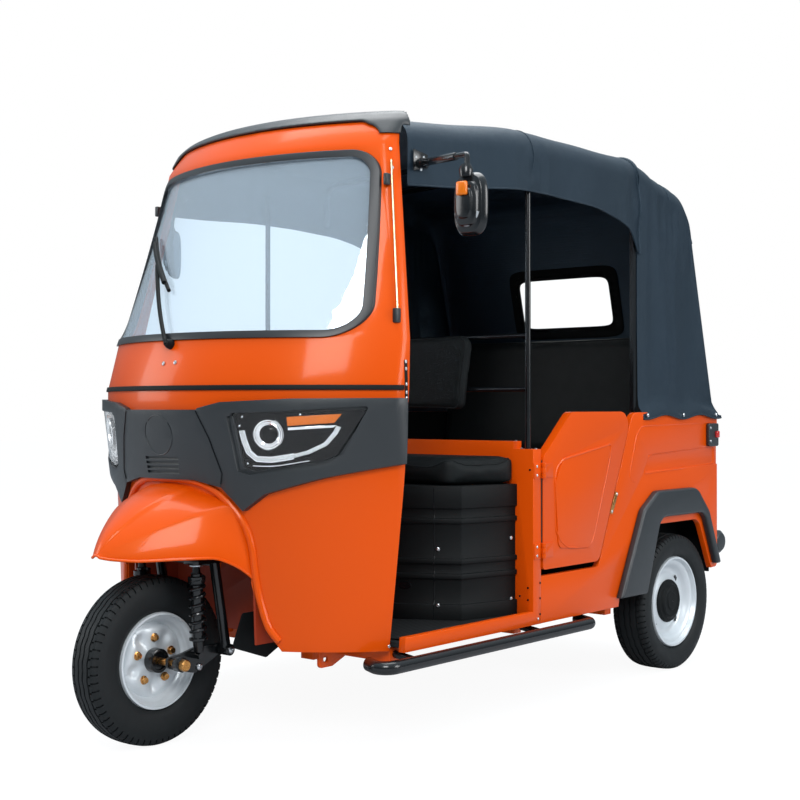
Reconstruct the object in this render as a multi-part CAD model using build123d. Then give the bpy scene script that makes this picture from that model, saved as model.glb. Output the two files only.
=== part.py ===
from build123d import *
from math import cos, radians, sin, sqrt, tan
import os

# Electric three-wheeled passenger rickshaw.
# Millimetres; +Z up; the vehicle faces -Y and its left side is +X.
# A station is a distance behind the front axle and a level is a height above the ground.

# Driving sizes
WHEELBASE = 1950.0
REAR_OVERHANG = 308.0
BODY_HALF = 620.0
WALL = 22.0
SHEET = 6.0
SEAT_GAP = 0.3
MOVING_GAP = 6.0
RUNNING_FIT = 0.06

# Cabin outlines are drawn for this wheelbase and this half width, and stretch with the real ones
DRAWN_WHEELBASE = 1950.0
DRAWN_HALF = 620.0

# Front wheel
FRONT_TYRE_RADIUS = 240.0
FRONT_TYRE_WIDTH = 106.0
FRONT_BEAD_RADIUS = 138.0
FRONT_RIM_HALF = 46.0
FRONT_HUB_RADIUS = 42.0
AXLE_RADIUS = 10.0
AXLE_HALF = 160.0

# Rear wheels
REAR_TYRE_RADIUS = 247.0
REAR_TYRE_WIDTH = 135.0
REAR_BEAD_RADIUS = 165.0
REAR_WHEEL_TUCK = 69.0
HALF_SHAFT_RADIUS = 15.0
HALF_SHAFT_TUBE = 22.0
SHAFT_REACH = 20.0
REAR_WHEEL_X = BODY_HALF - REAR_WHEEL_TUCK
REAR_END = WHEELBASE + REAR_OVERHANG

# Rear bumper and where the row frame lies
BUMPER_DEPTH = 50.0
KNOB_RADIUS = 44.0
KNOB_STATION = REAR_END + 36.0
FRONT_AXLE_Y = (FRONT_TYRE_RADIUS - KNOB_STATION - KNOB_RADIUS) / 2

# Steering
STEERING_RAKE = 24.0
STEERING_GROUND_STATION = -40.0
STEM_RADIUS = 17.0
CROWN_LEVEL = 2 * FRONT_TYRE_RADIUS + 32.0
CROWN_THICK = 16.0
HEAD_LOW = CROWN_LEVEL + 60.0
HEAD_HIGH = HEAD_LOW + 165.0
HEAD_RADIUS = 30.0
HANDLEBAR_LEVEL = 985.0
HANDLEBAR_HALF = 330.0
FORK_LEG_X = 120.0
FORK_LEG_RADIUS = 15.0
LINK_PIVOT = (184.0, FRONT_TYRE_RADIUS + 17.0)
SHOCK_FOOT = (79.0, FRONT_TYRE_RADIUS + 12.0)
SHOCK_HEAD_STATION = 69.0
SPRING_RADIUS = 27.0

# Levels
FLOOR_LEVEL = 300.0
FLOOR_THICK = 14.0
SILL_LOW = 275.0
SILL_TOP = 316.0
BELT = 940.0
PANEL_SPLIT = 880.0
RAIL_LOW = 226.0
FRAME_TOP = FLOOR_LEVEL - FLOOR_THICK - SEAT_GAP
OPENING_TOP = 1640.0

# Door posts, doors and hinges
POST_DRAWN_STATION = 1020.0
POST_DEPTH = 43.0
POST_WIDTH = 75.0
POST_TOP = 826.0
PARTITION_THICK = 38.0
RAIL_TOP = 850.0
DOOR_PROUD = 4.0
DOOR_THICK = 30.0
DOOR_SKIN = 12.0
HINGE_LEVELS = (505.0, 758.0)
HINGE_PIN = 4.0
HINGE_KNUCKLE = 8.0
HINGE_OUT = 9.0
HATCH_HALF = 400.0
HATCH_LOW = 470.0
HATCH_TOP = 880.0
HATCH_PIN = 4.0

# Front shell, one row per level in plan view; `tuck` is how far the side lies inside the body side
# level, nose station, tuck, front radius, rear edge station
SHELL = [
    (275.0, 95.0, 48.0, 700.0, 388.0),
    (500.0, 85.0, 30.0, 700.0, 400.0),
    (700.0, 75.0, 20.0, 700.0, 412.0),
    (951.0, 37.0, 15.0, 700.0, 424.0),
    (1010.0, 37.0, 15.0, 700.0, 430.0),
    (1150.0, 78.0, 20.0, 700.0, 440.0),
    (1730.0, 332.0, 128.0, 880.0, 520.0),
    (1795.0, 382.0, 132.0, 880.0, 530.0),
]
SHELL_CORNER = 60.0
SHELL_LOW = SHELL[0][0]
SHELL_TOP = SHELL[-1][0]
FASCIA_PROUD = 18.0
FASCIA_END = 404.0

# Front mudguard, one row per cross section, at levels above the crown
# station, half width, edge level, shoulder half width, shoulder level, top level
FENDER = [
    (-192.0, 30.0, 26.0, 18.0, 34.0, 40.0),
    (-120.0, 128.0, 16.0, 92.0, 73.0, 116.0),
    (-40.0, 190.0, 10.0, 148.0, 118.0, 178.0),
    (60.0, 242.0, -7.0, 205.0, 160.0, 223.0),
    (165.0, 290.0, -44.0, 258.0, 178.0, 240.0),
]
FENDER_THICK = 8.0
FENDER_RIDGE = 7.0

# Canopy, one row per cross section; `tuck` is how far the side lies inside the body side
# station, tuck, top level, corner radius, crown
CANOPY = [
    (531.0, 108.0, 1800.0, 66.0, 11.0),
    (1040.0, 14.0, 1838.0, 80.0, 14.0),
    (1700.0, 14.0, 1838.0, 80.0, 14.0),
    (1860.0, 14.0, 1806.0, 80.0, 10.0),
    (2000.0, 14.0, 1768.0, 80.0, 8.0),
    (2068.0, 14.0, 1700.0, 80.0, 4.0),
    (2090.0, 14.0, 1616.0, 80.0, 3.0),
    (2306.0, 10.0, 780.0, 80.0, 2.0),
]
CANOPY_THICK = 10.0
QUARTER_STATION = 1700.0

WHEELHOUSE_HALF = 262.0
WHEELHOUSE_BACK = 330.0
WHEELHOUSE_TOP = CROWN_LEVEL + 188.0
ARCH_SPREAD = 20.0
STEP_RADIUS = 19.0
MIRROR_ARM_RADIUS = 8.0
MIRROR_HEAD = (110.0, 50.0, 175.0)
MIRROR_SWING = 57.5


def st(station):
    """The row's Y of a station."""
    return FRONT_AXLE_Y + station


def along(station):
    """A cabin station stretched to the real wheelbase."""
    return station * WHEELBASE / DRAWN_WHEELBASE


def across(x):
    """A width stretched to the real body."""
    return x * BODY_HALF / DRAWN_HALF


def block(x, y, z):
    """A box from (low, high) pairs; y is given as stations."""
    size = (x[1] - x[0], y[1] - y[0], z[1] - z[0])
    centre = ((x[0] + x[1]) / 2, st((y[0] + y[1]) / 2), (z[0] + z[1]) / 2)
    return Pos(*centre) * Box(*size)


def rod(start, end, radius):
    """A round bar between two (x, station, z) points."""
    a, b = [Vector(x, st(station), level) for x, station, level in (start, end)]
    low = (Align.CENTER, Align.CENTER, Align.MIN)
    return Plane(origin=a, z_dir=(b - a)) * Cylinder(radius, (b - a).length, align=low)


def bent_tube(points, radius, bend):
    """A round tube along (x, station, z) points with bends of one radius."""
    path = FilletPolyline(*[(x, st(y), z) for x, y, z in points], radius=bend)
    return sweep(path.location_at(0) * Circle(radius), path=path)


def outline(points):
    """A flat outline from (u, v) or (u, v, corner radius) rows."""
    face = make_face(Polyline(*[(p[0], p[1]) for p in points], close=True))
    for row in points:
        if len(row) > 2 and row[2] > 0:
            corner = min(face.vertices(), key=lambda c: (c.X - row[0]) ** 2 + (c.Y - row[1]) ** 2)
            face = fillet(corner, row[2])
    return face


def side_plate(points, x):
    """A prism along X from an outline of (station, level, corner) rows."""
    rows = [(st(p[0]),) + tuple(p[1:]) for p in points]
    plane = Plane(origin=(x[0], 0, 0), x_dir=(0, 1, 0), z_dir=(1, 0, 0))
    return extrude(plane * outline(rows), amount=x[1] - x[0])


def front_plate(points, y):
    """A prism along Y from an outline of (x, level, corner) rows."""
    plane = Plane(origin=(0, st(y[1]), 0), x_dir=(1, 0, 0), z_dir=(0, -1, 0))
    return extrude(plane * outline(points), amount=y[1] - y[0])


def plan_plate(points, z):
    """A prism along Z from an outline of (x, station, corner) rows."""
    rows = [(p[0], st(p[1])) + tuple(p[2:]) for p in points]
    return extrude(Pos(0, 0, z[0]) * outline(rows), amount=z[1] - z[0])


def both(points):
    """An outline of (x, ...) rows continued on the other side."""
    return list(points) + [(-p[0],) + tuple(p[1:]) for p in reversed(points)]


def spread(points):
    """An outline with its widths stretched to the real body."""
    return [(across(p[0]),) + tuple(p[1:]) for p in points]


def mirrored(shape):
    return mirror(shape, about=Plane.YZ)


def pair(shape):
    return shape + mirrored(shape)


def turned(profile, x, station, level):
    """A solid turned about a crosswise line from (x offset, radius) rows."""
    return Pos(x, st(station), level) * revolve(make_face(Polyline(*profile, close=True)), axis=Axis.X)


def shell_section(row, inset):
    """One plan-view ring of the front shell moved in by `inset`."""
    level, nose, tuck, radius, end = row
    nose, radius, half = nose + inset, across(radius) - inset, BODY_HALF - tuck - inset
    corner = SHELL_CORNER - inset
    centre = nose + radius
    fx = half - corner
    fy = centre - sqrt((radius - corner) ** 2 - fx ** 2)
    ratio = radius / (radius - corner)
    tx, ty = fx * ratio, centre + (fy - centre) * ratio
    mx, my = (tx + half) / 2 - fx, (ty + fy) / 2 - fy
    reach = corner / sqrt(mx ** 2 + my ** 2)
    mx, my = fx + mx * reach, fy + my * reach
    right, left = Vector(half, st(end), level), Vector(-half, st(end), level)
    turn_right, turn_left = Vector(half, st(fy), level), Vector(-half, st(fy), level)
    front_right, front_left = Vector(tx, st(ty), level), Vector(-tx, st(ty), level)
    return Wire([
        Edge.make_line(right, turn_right),
        Edge.make_three_point_arc(turn_right, Vector(mx, st(my), level), front_right),
        Edge.make_three_point_arc(front_right, Vector(0, st(nose), level), front_left),
        Edge.make_three_point_arc(front_left, Vector(-mx, st(my), level), turn_left),
        Edge.make_line(turn_left, left),
        Edge.make_line(left, right),
    ])


def shell_row(level, end=None):
    """The plan-view row of the front shell at any level."""
    for low, high in zip(SHELL, SHELL[1:]):
        if level <= high[0] or high is SHELL[-1]:
            share = (level - low[0]) / (high[0] - low[0])
            row = [a + (b - a) * share for a, b in zip(low, high)]
            if end is not None:
                row[4] = end
            return tuple([level] + row[1:])


def shell_solid(inset, low, high, end=None):
    """The filled front shell between two levels, moved in by `inset`."""
    levels = [low] + [row[0] for row in SHELL if low + 1 < row[0] < high - 1] + [high]
    return Solid.make_loft([shell_section(shell_row(z, end), inset) for z in levels], ruled=True)


def shell_layer(outer, inner, low, high):
    """A skin of the front shell between two insets, open behind."""
    far = 700.0
    return shell_solid(outer, low, high, far) - shell_solid(inner, low - 2, high + 2, far + 5)


def nose_at(level):
    return shell_row(level)[1]


def behind_shell():
    """All that lies behind the slanted rear edge of the front shell."""
    edge = [(row[4], row[0]) for row in SHELL]
    edge = [(edge[0][0], 200.0)] + edge + [(edge[-1][0], 1900.0), (800.0, 1900.0), (800.0, 200.0)]
    return side_plate(edge, (-2 * BODY_HALF, 2 * BODY_HALF))


def shell_window(outline_rows, depth=520.0):
    """A prism through the front shell from its front view."""
    return front_plate(both(spread(outline_rows)), (-80, depth))


def canopy_section(row, inset, foot):
    station, tuck, top, corner, crown = row
    half, top, corner = BODY_HALF - tuck - inset, top - inset, corner - inset
    y = st(station)
    slack = corner * (1 - sin(radians(45)))
    return Wire([
        Edge.make_line(Vector(-half, y, foot), Vector(half, y, foot)),
        Edge.make_line(Vector(half, y, foot), Vector(half, y, top - corner)),
        Edge.make_three_point_arc(
            Vector(half, y, top - corner),
            Vector(half - slack, y, top - slack),
            Vector(half - corner, y, top)),
        Edge.make_three_point_arc(
            Vector(half - corner, y, top),
            Vector(0, y, top + crown),
            Vector(corner - half, y, top)),
        Edge.make_three_point_arc(
            Vector(corner - half, y, top),
            Vector(slack - half, y, top - slack),
            Vector(-half, y, top - corner)),
        Edge.make_line(Vector(-half, y, top - corner), Vector(-half, y, foot)),
    ])


def canopy_solid(inset):
    """The filled canopy moved in by `inset`, its back wall included."""
    rows = []
    for index, row in enumerate(CANOPY):
        station = row[0] if index == 0 else along(row[0])
        if inset > 0 and index == 0:
            station -= 5
        if inset > 0 and row[0] >= CANOPY[-4][0]:
            station -= inset
        rows.append((station,) + row[1:])
    return Solid.make_loft([canopy_section(row, inset, 600.0) for row in rows], ruled=True)


def steer_point(level, x=0.0):
    """A point on the steering axis."""
    return (x, STEERING_GROUND_STATION + level * tan(radians(STEERING_RAKE)), level)


# Front shell
WHEEL_OPENING = [(352, SHELL_LOW - 10, 0), (302, 340, 0), (270, 460, 0), (262, 650, 60)]
SCREEN_LOW, SCREEN_TOP = 1152.0, 1706.0
SCREEN_LOW_HALF, SCREEN_TOP_HALF = 546.0, 474.0
SCREEN_CORNER = 88.0
SEAL_WIDTH = 21.0


def screen_outline(inset):
    return [
        (SCREEN_LOW_HALF - inset, SCREEN_LOW + inset, SCREEN_CORNER - inset),
        (SCREEN_TOP_HALF - inset, SCREEN_TOP - inset, SCREEN_CORNER - inset)]


def front_lower_panel():
    opening = front_plate(both(WHEEL_OPENING), (-50, 330))
    return shell_layer(0, WALL, SHELL_LOW, PANEL_SPLIT) - opening - behind_shell()


def front_upper_shell():
    return shell_layer(0, WALL, PANEL_SPLIT, SHELL_TOP) - behind_shell() - shell_window(screen_outline(0))


def windscreen_seal():
    band = shell_layer(-7, 15, 1100, 1770) & shell_window(screen_outline(SEAT_GAP))
    return band - shell_window(screen_outline(SEAL_WIDTH))


def windscreen():
    return shell_layer(3, 8, 1100, 1770) & shell_window(screen_outline(SEAL_WIDTH + SEAT_GAP))


CAP_LOW = 1755.0
CAP_TOP = 1836.0
CAP_BACK = 565.0
# level, how far the cap stands in from the shell
CAP = [(CAP_LOW, -9.0), (CAP_TOP - 34, -13.0), (CAP_TOP - 12, -4.0), (CAP_TOP, 14.0)]
CAP_EDGE = [(456, CAP_LOW - 15, 0), (448, CAP_LOW + 14, 18), (392, SHELL_TOP + 2, 40)]


def roof_cap():
    """Moulding over the header with turned-down corners and a rounded top edge."""
    outer = Solid.make_loft([shell_section(shell_row(z, CAP_BACK), inset) for z, inset in CAP], ruled=True)
    inner = shell_solid(-SEAT_GAP, CAP_LOW - 10, SHELL_TOP + SEAT_GAP, CAP_BACK + 20)
    return outer - inner - shell_window(CAP_EDGE, CAP_BACK + 20) - canopy_solid(-SEAT_GAP)


# Black fascia with its lamps
CENTRE_EDGE = [(152, 951), (186, 872), (215, 770), (206, 733), (120, 752)]
SIDE_EDGE = [
    (153, 951), (187, 872), (216, 770), (207, 733), (266, 668), (327, 716, 8), (470, 763),
    (640, 806), (640, 984), (415, 982), (228, 972, 12), (160, 956)]
LAMP_EDGE = [(257, 942, 8), (564, 952, 6), (499, 826, 14), (470, 810, 14), (304, 780, 10), (273, 787, 8)]
RECESS_EDGE = [(246, 933, 8), (571, 962, 6), (515, 829, 14), (478, 801, 14), (294, 770, 10), (262, 780, 8)]
BADGE_LEVEL, BADGE_RADIUS = 878.0, 57.0
SLOT_COUNT, SLOT_TOP, SLOT_PITCH, SLOT_HALF = 4, 812.0, 13.5, 72.0
LAMP_PROUD, RECESS_DEPTH = 13.0, 12.0
TRIM_LOW, TRIM_TOP, TRIM_PROUD = 1006.0, 1020.0, 5.0


def behind_fascia():
    return block((-2 * BODY_HALF, 2 * BODY_HALF), (FASCIA_END, 800), (600, 1100))


def fascia_window(points):
    return front_plate(spread(points), (-80, FASCIA_END))


def fascia():
    skin = shell_layer(-FASCIA_PROUD, -SEAT_GAP, 640, 1000)
    centre = skin & front_plate(both(spread(CENTRE_EDGE)), (-80, 300))
    face = Pos(0, st(nose_at(BADGE_LEVEL) - FASCIA_PROUD), BADGE_LEVEL) * Rot(90, 0, 0)
    centre -= face * (Cylinder(BADGE_RADIUS + 3, 8) - Cylinder(BADGE_RADIUS, 10))
    for row in range(SLOT_COUNT):
        level = SLOT_TOP - SLOT_PITCH * row
        front = nose_at(level) - FASCIA_PROUD
        centre -= block((row - SLOT_HALF, SLOT_HALF - row), (front - 20, front + 10), (level - 4, level + 4))
    side = (skin & fascia_window([(p[0] + SEAT_GAP,) + tuple(p[1:]) for p in SIDE_EDGE])) - behind_fascia()
    side -= fascia_window(RECESS_EDGE) & shell_layer(-40, RECESS_DEPTH - FASCIA_PROUD, 700, 1000)
    side -= fascia_window(LAMP_EDGE) & shell_layer(-40, 5, 700, 1000)
    return centre + pair(side)


def headlamps():
    return pair(shell_layer(-LAMP_PROUD, -SEAT_GAP, 700, 1000) & fascia_window(LAMP_EDGE))


def hood_trim():
    return shell_layer(-TRIM_PROUD, -SEAT_GAP, TRIM_LOW, TRIM_TOP) - behind_fascia()


# Front mudguard and wheelhouse
def fender_section(row, inset, extend=0.0):
    station, half, low, shoulder_x, shoulder, top = row
    y = st(station)
    half, shoulder_x = half - inset, shoulder_x - inset
    low, shoulder, top = CROWN_LEVEL + low - extend, CROWN_LEVEL + shoulder - inset, CROWN_LEVEL + top - inset
    a, b, c = Vector(half, y, low), Vector(shoulder_x, y, shoulder), Vector(0, y, top)
    d, e = Vector(-shoulder_x, y, shoulder), Vector(-half, y, low)
    return Wire([Edge.make_line(a, b), Edge.make_three_point_arc(b, c, d), Edge.make_line(d, e), Edge.make_line(e, a)])


def fender_ridge_section(row):
    """The raised band down the middle of the mudguard."""
    station, half, low, shoulder_x, shoulder, top = row
    y, reach = st(station), 0.45 * shoulder_x
    drop = (top - shoulder) * 0.45 ** 2
    a = Vector(reach, y, CROWN_LEVEL + top - drop - FENDER_THICK / 2)
    b = Vector(reach * 0.85, y, CROWN_LEVEL + top - drop * 0.7 + FENDER_RIDGE * 0.7)
    c = Vector(0, y, CROWN_LEVEL + top + FENDER_RIDGE)
    d, e = Vector(-b.X, y, b.Z), Vector(-reach, y, a.Z)
    return Wire([Edge.make_line(a, b), Edge.make_three_point_arc(b, c, d), Edge.make_line(d, e), Edge.make_line(e, a)])


def fender():
    outer = Solid.make_loft([fender_section(row, 0) for row in FENDER], ruled=True)
    rows = [(FENDER[0][0] + FENDER_THICK,) + FENDER[0][1:]] + FENDER[1:-1] + [(FENDER[-1][0] + 5,) + FENDER[-1][1:]]
    inner = Solid.make_loft([fender_section(row, FENDER_THICK, 60) for row in rows], ruled=True)
    ridge = Solid.make_loft([fender_ridge_section(row) for row in FENDER], ruled=True)
    return (outer + ridge) - inner - shell_solid(-SEAT_GAP, 300, 900, 700)


def front_wheelhouse():
    half, back, top = WHEELHOUSE_HALF, WHEELHOUSE_BACK, WHEELHOUSE_TOP
    house = block((-half, half), (115, back), (FLOOR_LEVEL - FLOOR_THICK, top))
    house -= block((SHEET - half, half - SHEET), (110, back - SHEET), (0, top - SHEET))
    house -= shell_solid(-400, 200, 800, 900) - shell_solid(WALL + SEAT_GAP, 200, 800, 900)
    house -= rod(steer_point(HEAD_LOW - 60), steer_point(HEAD_HIGH + 150), HEAD_RADIUS + 4)
    return house - head_struts(SEAT_GAP)


def splash_guards():
    """Flaps at the foot of the wheelhouse, one each side of the wheel."""
    back = WHEELHOUSE_BACK - SHEET
    guard = [(131, 277, 12), (262, 232, 10), (back, 262), (back, 371), (170, 371, 10)]
    return pair(side_plate(guard, (200, 200 + SHEET)))


# Floor, sills, posts and chassis
STRUT_LOW = (100.0, 400.0, 262.0)
STRUT_HIGH = (36.0, 262.0, HEAD_HIGH - 45.0)
STRUT_RADIUS = 14.0
RAIL_X, RAIL_WIDTH = 290.0, 50.0
POST_FRONT = along(POST_DRAWN_STATION)
POST_BACK = POST_FRONT + POST_DEPTH
POST_INNER = BODY_HALF - POST_WIDTH
MOTOR_STATION = WHEELBASE - 85.0
MOTOR_RADIUS = 70.0
BATTERY_BACK = MOTOR_STATION - MOTOR_RADIUS - 25.0
BATTERY_LENGTH = 178.0
BATTERY_HALF = 255.0
BENCH_FRONT = BATTERY_BACK - BATTERY_LENGTH - 22.0


def head_struts(extra):
    return pair(rod(STRUT_LOW, STRUT_HIGH, STRUT_RADIUS + extra))


def floor_pan():
    half, tongue, end = BODY_HALF - WALL - 2, RAIL_X - RAIL_WIDTH / 2 - 1, BENCH_FRONT + 5
    front = SHELL[1][4] - 4
    edge = [(half, front), (half, end), (tongue, end), (tongue, BATTERY_BACK + 10)]
    rows = both(edge) + [(-500, front), (-440, 336), (440, 336), (500, front)]
    floor = plan_plate(rows, (FLOOR_LEVEL - FLOOR_THICK, FLOOR_LEVEL))
    slot = block((POST_INNER - SEAT_GAP, 2 * BODY_HALF), (POST_FRONT - SEAT_GAP, POST_BACK + SEAT_GAP), (200, 400))
    return floor - pair(slot) - head_struts(SEAT_GAP)


def hinge_barrel(low, high, radius):
    x, station = BODY_HALF + HINGE_OUT, POST_BACK + 3
    return rod((x, station, low), (x, station, high), radius)


def post_hinges():
    """Fixed leaves and middle knuckles of the left door's hinges."""
    straps = []
    for level in HINGE_LEVELS:
        leaf = block((BODY_HALF, BODY_HALF + 4), (POST_FRONT + 8, POST_BACK - 7), (level - 22, level + 22))
        leaf += block((BODY_HALF, BODY_HALF + 4), (POST_BACK - 13, POST_BACK + 3), (level - 8.5, level + 8.5))
        leaf += hinge_barrel(level - 8.5, level + 8.5, HINGE_KNUCKLE)
        straps.append(leaf - hinge_barrel(level - 30, level + 30, HINGE_PIN + RUNNING_FIT))
    return straps


def posts_and_partition():
    """Door posts with sills, and the wall and rail behind the driver."""
    post = block((POST_INNER, BODY_HALF), (POST_FRONT, POST_BACK), (SILL_LOW, POST_TOP))
    post += side_plate([(SHELL[0][4] + 4, SILL_LOW), (POST_FRONT, SILL_LOW), (POST_FRONT, SILL_TOP), (SHELL[1][4] - 4, SILL_TOP)],
                       (BODY_HALF - WALL, BODY_HALF))
    for strap in post_hinges():
        post += strap
    wall = block((-POST_INNER, POST_INNER), (POST_FRONT, POST_FRONT + PARTITION_THICK), (FLOOR_LEVEL, 800))
    rail = block((-POST_INNER, POST_INNER), (POST_FRONT, POST_BACK), (800, RAIL_TOP))
    return wall + rail + pair(post)


def chassis_frame():
    """Two rails that rise over the rear axle, cross members, head tube and tie-down brackets."""
    kick_low, kick_high, tail = WHEELBASE - 310, WHEELBASE - 210, REAR_END - 58
    top, lift = REAR_TYRE_RADIUS + 138, REAR_TYRE_RADIUS + 83
    rail = [(345, RAIL_LOW), (kick_low, RAIL_LOW), (kick_high, lift), (tail, lift), (tail, top),
            (kick_high - 25, top), (kick_low - 25, FRAME_TOP), (345, FRAME_TOP)]
    frame = pair(side_plate(rail, (RAIL_X - RAIL_WIDTH / 2, RAIL_X + RAIL_WIDTH / 2)))
    for station, half in ((420.0, across(560)), (POST_FRONT + 20, POST_INNER - SEAT_GAP), (BENCH_FRONT - 10, across(560))):
        frame += block((-half, half), (station - 20, station + 20), (RAIL_LOW + 14, FRAME_TOP))
    frame += block((-across(455), across(455)), (tail - 50, tail - 10), (lift, top))
    frame += head_struts(0)
    bore = rod(steer_point(HEAD_LOW - 60), steer_point(HEAD_HIGH + 150), STEM_RADIUS + RUNNING_FIT)
    frame += rod(steer_point(HEAD_LOW), steer_point(HEAD_HIGH), HEAD_RADIUS) - bore
    bracket = side_plate([(275, 222, 12), (330, 222, 12), (400, 250), (400, FRAME_TOP), (275, FRAME_TOP, 4)], (396, 404))
    return frame + pair(bracket - rod((380, 302, 246), (420, 302, 246), 9))


# Seats
def seat_base_edge(inset):
    front, corner, back = along(700) + inset, along(800) + inset, POST_FRONT - SEAT_GAP
    return [
        (across(560) - inset, back), (across(507) - inset, corner), (across(330) - inset / 2, front),
        (-across(330) + inset / 2, front), (inset - across(507), corner), (inset - across(560), back)]


def driver_seat_base():
    """Moulded box under the driver with two raised belts and a plinth."""
    base = plan_plate(seat_base_edge(7), (FLOOR_LEVEL, 716))
    for low, high in ((FLOOR_LEVEL, 352), (430, 446), (476, 492), (600, 616), (646, 716)):
        base += plan_plate(seat_base_edge(0), (low, high))
    return base


def driver_cushion():
    back, front = POST_FRONT - 2, along(770)
    edge = [(across(480), front, 40), (across(566), back, 16)]
    return plan_plate(both(edge), (716 + SEAT_GAP, 804))


def driver_backrest():
    back = POST_FRONT + 20 - 8 - SEAT_GAP
    return front_plate(both([(362, 942, 30), (395, 1200, 40)]), (back - 44, back))


def passenger_seat_base():
    """Front wall and deck of the rear bench, over the battery."""
    half, back = across(460), WHEELBASE + 150
    wall = block((-half, half), (BENCH_FRONT, BENCH_FRONT + 20), (FLOOR_LEVEL, 616))
    return wall + block((-half, half), (BENCH_FRONT, back), (616, 640))


def passenger_cushion():
    half = across(560)
    edge = [(half, BENCH_FRONT - 10, 30), (half, WHEELBASE + 110, 20)]
    return plan_plate(both(edge), (640 + SEAT_GAP, 760))


def passenger_backrest():
    back = REAR_END - 20 - SEAT_GAP
    profile = [
        (WHEELBASE + 90, 760 + SEAT_GAP), (WHEELBASE + 136, 1240, 30), (WHEELBASE + 208, 1240, 30),
        (back, 945, 20), (back, 760 + SEAT_GAP)]
    return side_plate(profile, (-across(560), across(560)))


def battery():
    return block((-BATTERY_HALF, BATTERY_HALF), (BATTERY_BACK - BATTERY_LENGTH, BATTERY_BACK), (FLOOR_LEVEL + SEAT_GAP, 600))


# Canopy
POLE_TUCK, POLE_RADIUS, BAR_RADIUS = 34.0, 9.0, 8.0
BAR_LEVELS = (1015.0, 1185.0)
# station, level of the feet
BOWS = [(1360.0, OPENING_TOP + 20), (1683.0, BELT + 1)]
BOW_THICK = 16.0


def side_opening():
    """The long openings in both sides of the canopy, with their rounded rear corner."""
    back = along(QUARTER_STATION)
    edge = [
        (400, 900), (400, OPENING_TOP - 28), (720, OPENING_TOP - 18), (along(1040), OPENING_TOP),
        (along(1390), OPENING_TOP - 6), (back, OPENING_TOP - 40, 130), (back, 900)]
    return side_plate(edge, (-2 * BODY_HALF, 2 * BODY_HALF))


def canopy_cover():
    low = block((-2 * BODY_HALF, 2 * BODY_HALF), (400, REAR_END + 400), (500, BELT))
    return canopy_solid(0) - canopy_solid(CANOPY_THICK) - low - side_opening()


def rear_region(start):
    return block((-2 * BODY_HALF, 2 * BODY_HALF), (start, REAR_END + 400), (500, 2000))


def window_prism(inset):
    half, low, top = 233 - inset, 1265 + inset, 1495 - inset
    return front_plate(both([(half, low, 25), (half, top, 25)]), (REAR_END - 260, REAR_END + 100))


def canopy_back():
    return (canopy_cover() & rear_region(along(QUARTER_STATION) + SEAT_GAP)) - window_prism(0)


def canopy_roof():
    return canopy_cover() - rear_region(along(QUARTER_STATION))


def rear_window():
    return window_prism(SEAT_GAP) & (canopy_solid(3) - canopy_solid(6))


def canopy_poles():
    """Poles on the door posts with the cross bars behind the driver."""
    x, station = BODY_HALF - POLE_TUCK, POST_FRONT + 20
    frame = pair(rod((x, station, POST_TOP), (x, station, OPENING_TOP + 105), POLE_RADIUS))
    for level in BAR_LEVELS:
        frame += rod((-x, station, level), (x, station, level), BAR_RADIUS)
    return frame


def canopy_bows():
    """Flat hoops that hold the cloth up; the rear one stands on the body's belt."""
    ring = canopy_solid(CANOPY_THICK + SEAT_GAP) - canopy_solid(CANOPY_THICK + BOW_THICK)
    bows = []
    for station, foot in BOWS:
        bows.append(ring & block((-2 * BODY_HALF, 2 * BODY_HALF), (along(station) - 8, along(station) + 8), (foot, 2000)))
    return bows[0] + bows[1]


# Rear body
def arch(low_front, low_back, top, swell, corner):
    """Outline of a wheel arch; `swell` widens it and the levels of its feet may differ."""
    reach = REAR_TYRE_RADIUS + swell
    return [
        (WHEELBASE - reach, low_front), (WHEELBASE - reach + 0.42 * reach, top, corner),
        (WHEELBASE + reach - 0.36 * reach, top, corner), (WHEELBASE + reach, low_back)]


def body_side():
    """One pressed side panel below the belt, its wheel cut-out and its two stamped wedges."""
    start, top = POST_BACK + SEAT_GAP, BELT
    x = (BODY_HALF - WALL, BODY_HALF)
    edge = [
        (start, SILL_LOW), (along(1533), SILL_LOW), (along(1545), 330), (REAR_END - 170, 330),
        (REAR_END - 40, 349), (REAR_END, 349, 20), (REAR_END, top, 10), (along(1629), top, 45),
        (along(1404), 424, 20), (start, 424)]
    panel = side_plate(edge, x)
    reach = REAR_TYRE_RADIUS + 14
    cut = [(WHEELBASE - reach, 200), (WHEELBASE - reach, 330), (WHEELBASE - 160, 2 * REAR_TYRE_RADIUS + 46, 60),
           (WHEELBASE + 160, 2 * REAR_TYRE_RADIUS + 46, 60), (WHEELBASE + reach, 345), (WHEELBASE + reach, 200)]
    panel -= side_plate(cut, (x[0] - 5, x[1] + 5))
    wedge = [(along(1700), 728, 6), (along(1740), 790, 10), (REAR_END + 5, 812), (REAR_END + 5, 742)]
    return panel - side_plate(wedge, (x[1] - 4, x[1] + 5))


def hatch_axis(start, end, radius):
    return rod((start, REAR_END + 7, HATCH_TOP - 3), (end, REAR_END + 7, HATCH_TOP - 3), radius)


def rear_panel():
    """Rear wall with the lid's opening and its two hinge eyes."""
    half = BODY_HALF - WALL - SEAT_GAP
    panel = front_plate(both([(half, 349), (half, BELT)]), (REAR_END - 20, REAR_END))
    panel -= front_plate(both([(HATCH_HALF, HATCH_LOW, 40), (HATCH_HALF, HATCH_TOP, 40)]), (REAR_END - 90, REAR_END + 90))
    eye = hatch_axis(225, 275, 8) + block((225, 275), (REAR_END - 6, REAR_END + 6), (HATCH_TOP + 3, HATCH_TOP + 30))
    return panel + pair(eye - hatch_axis(220, 280, HATCH_PIN + RUNNING_FIT))


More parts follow.
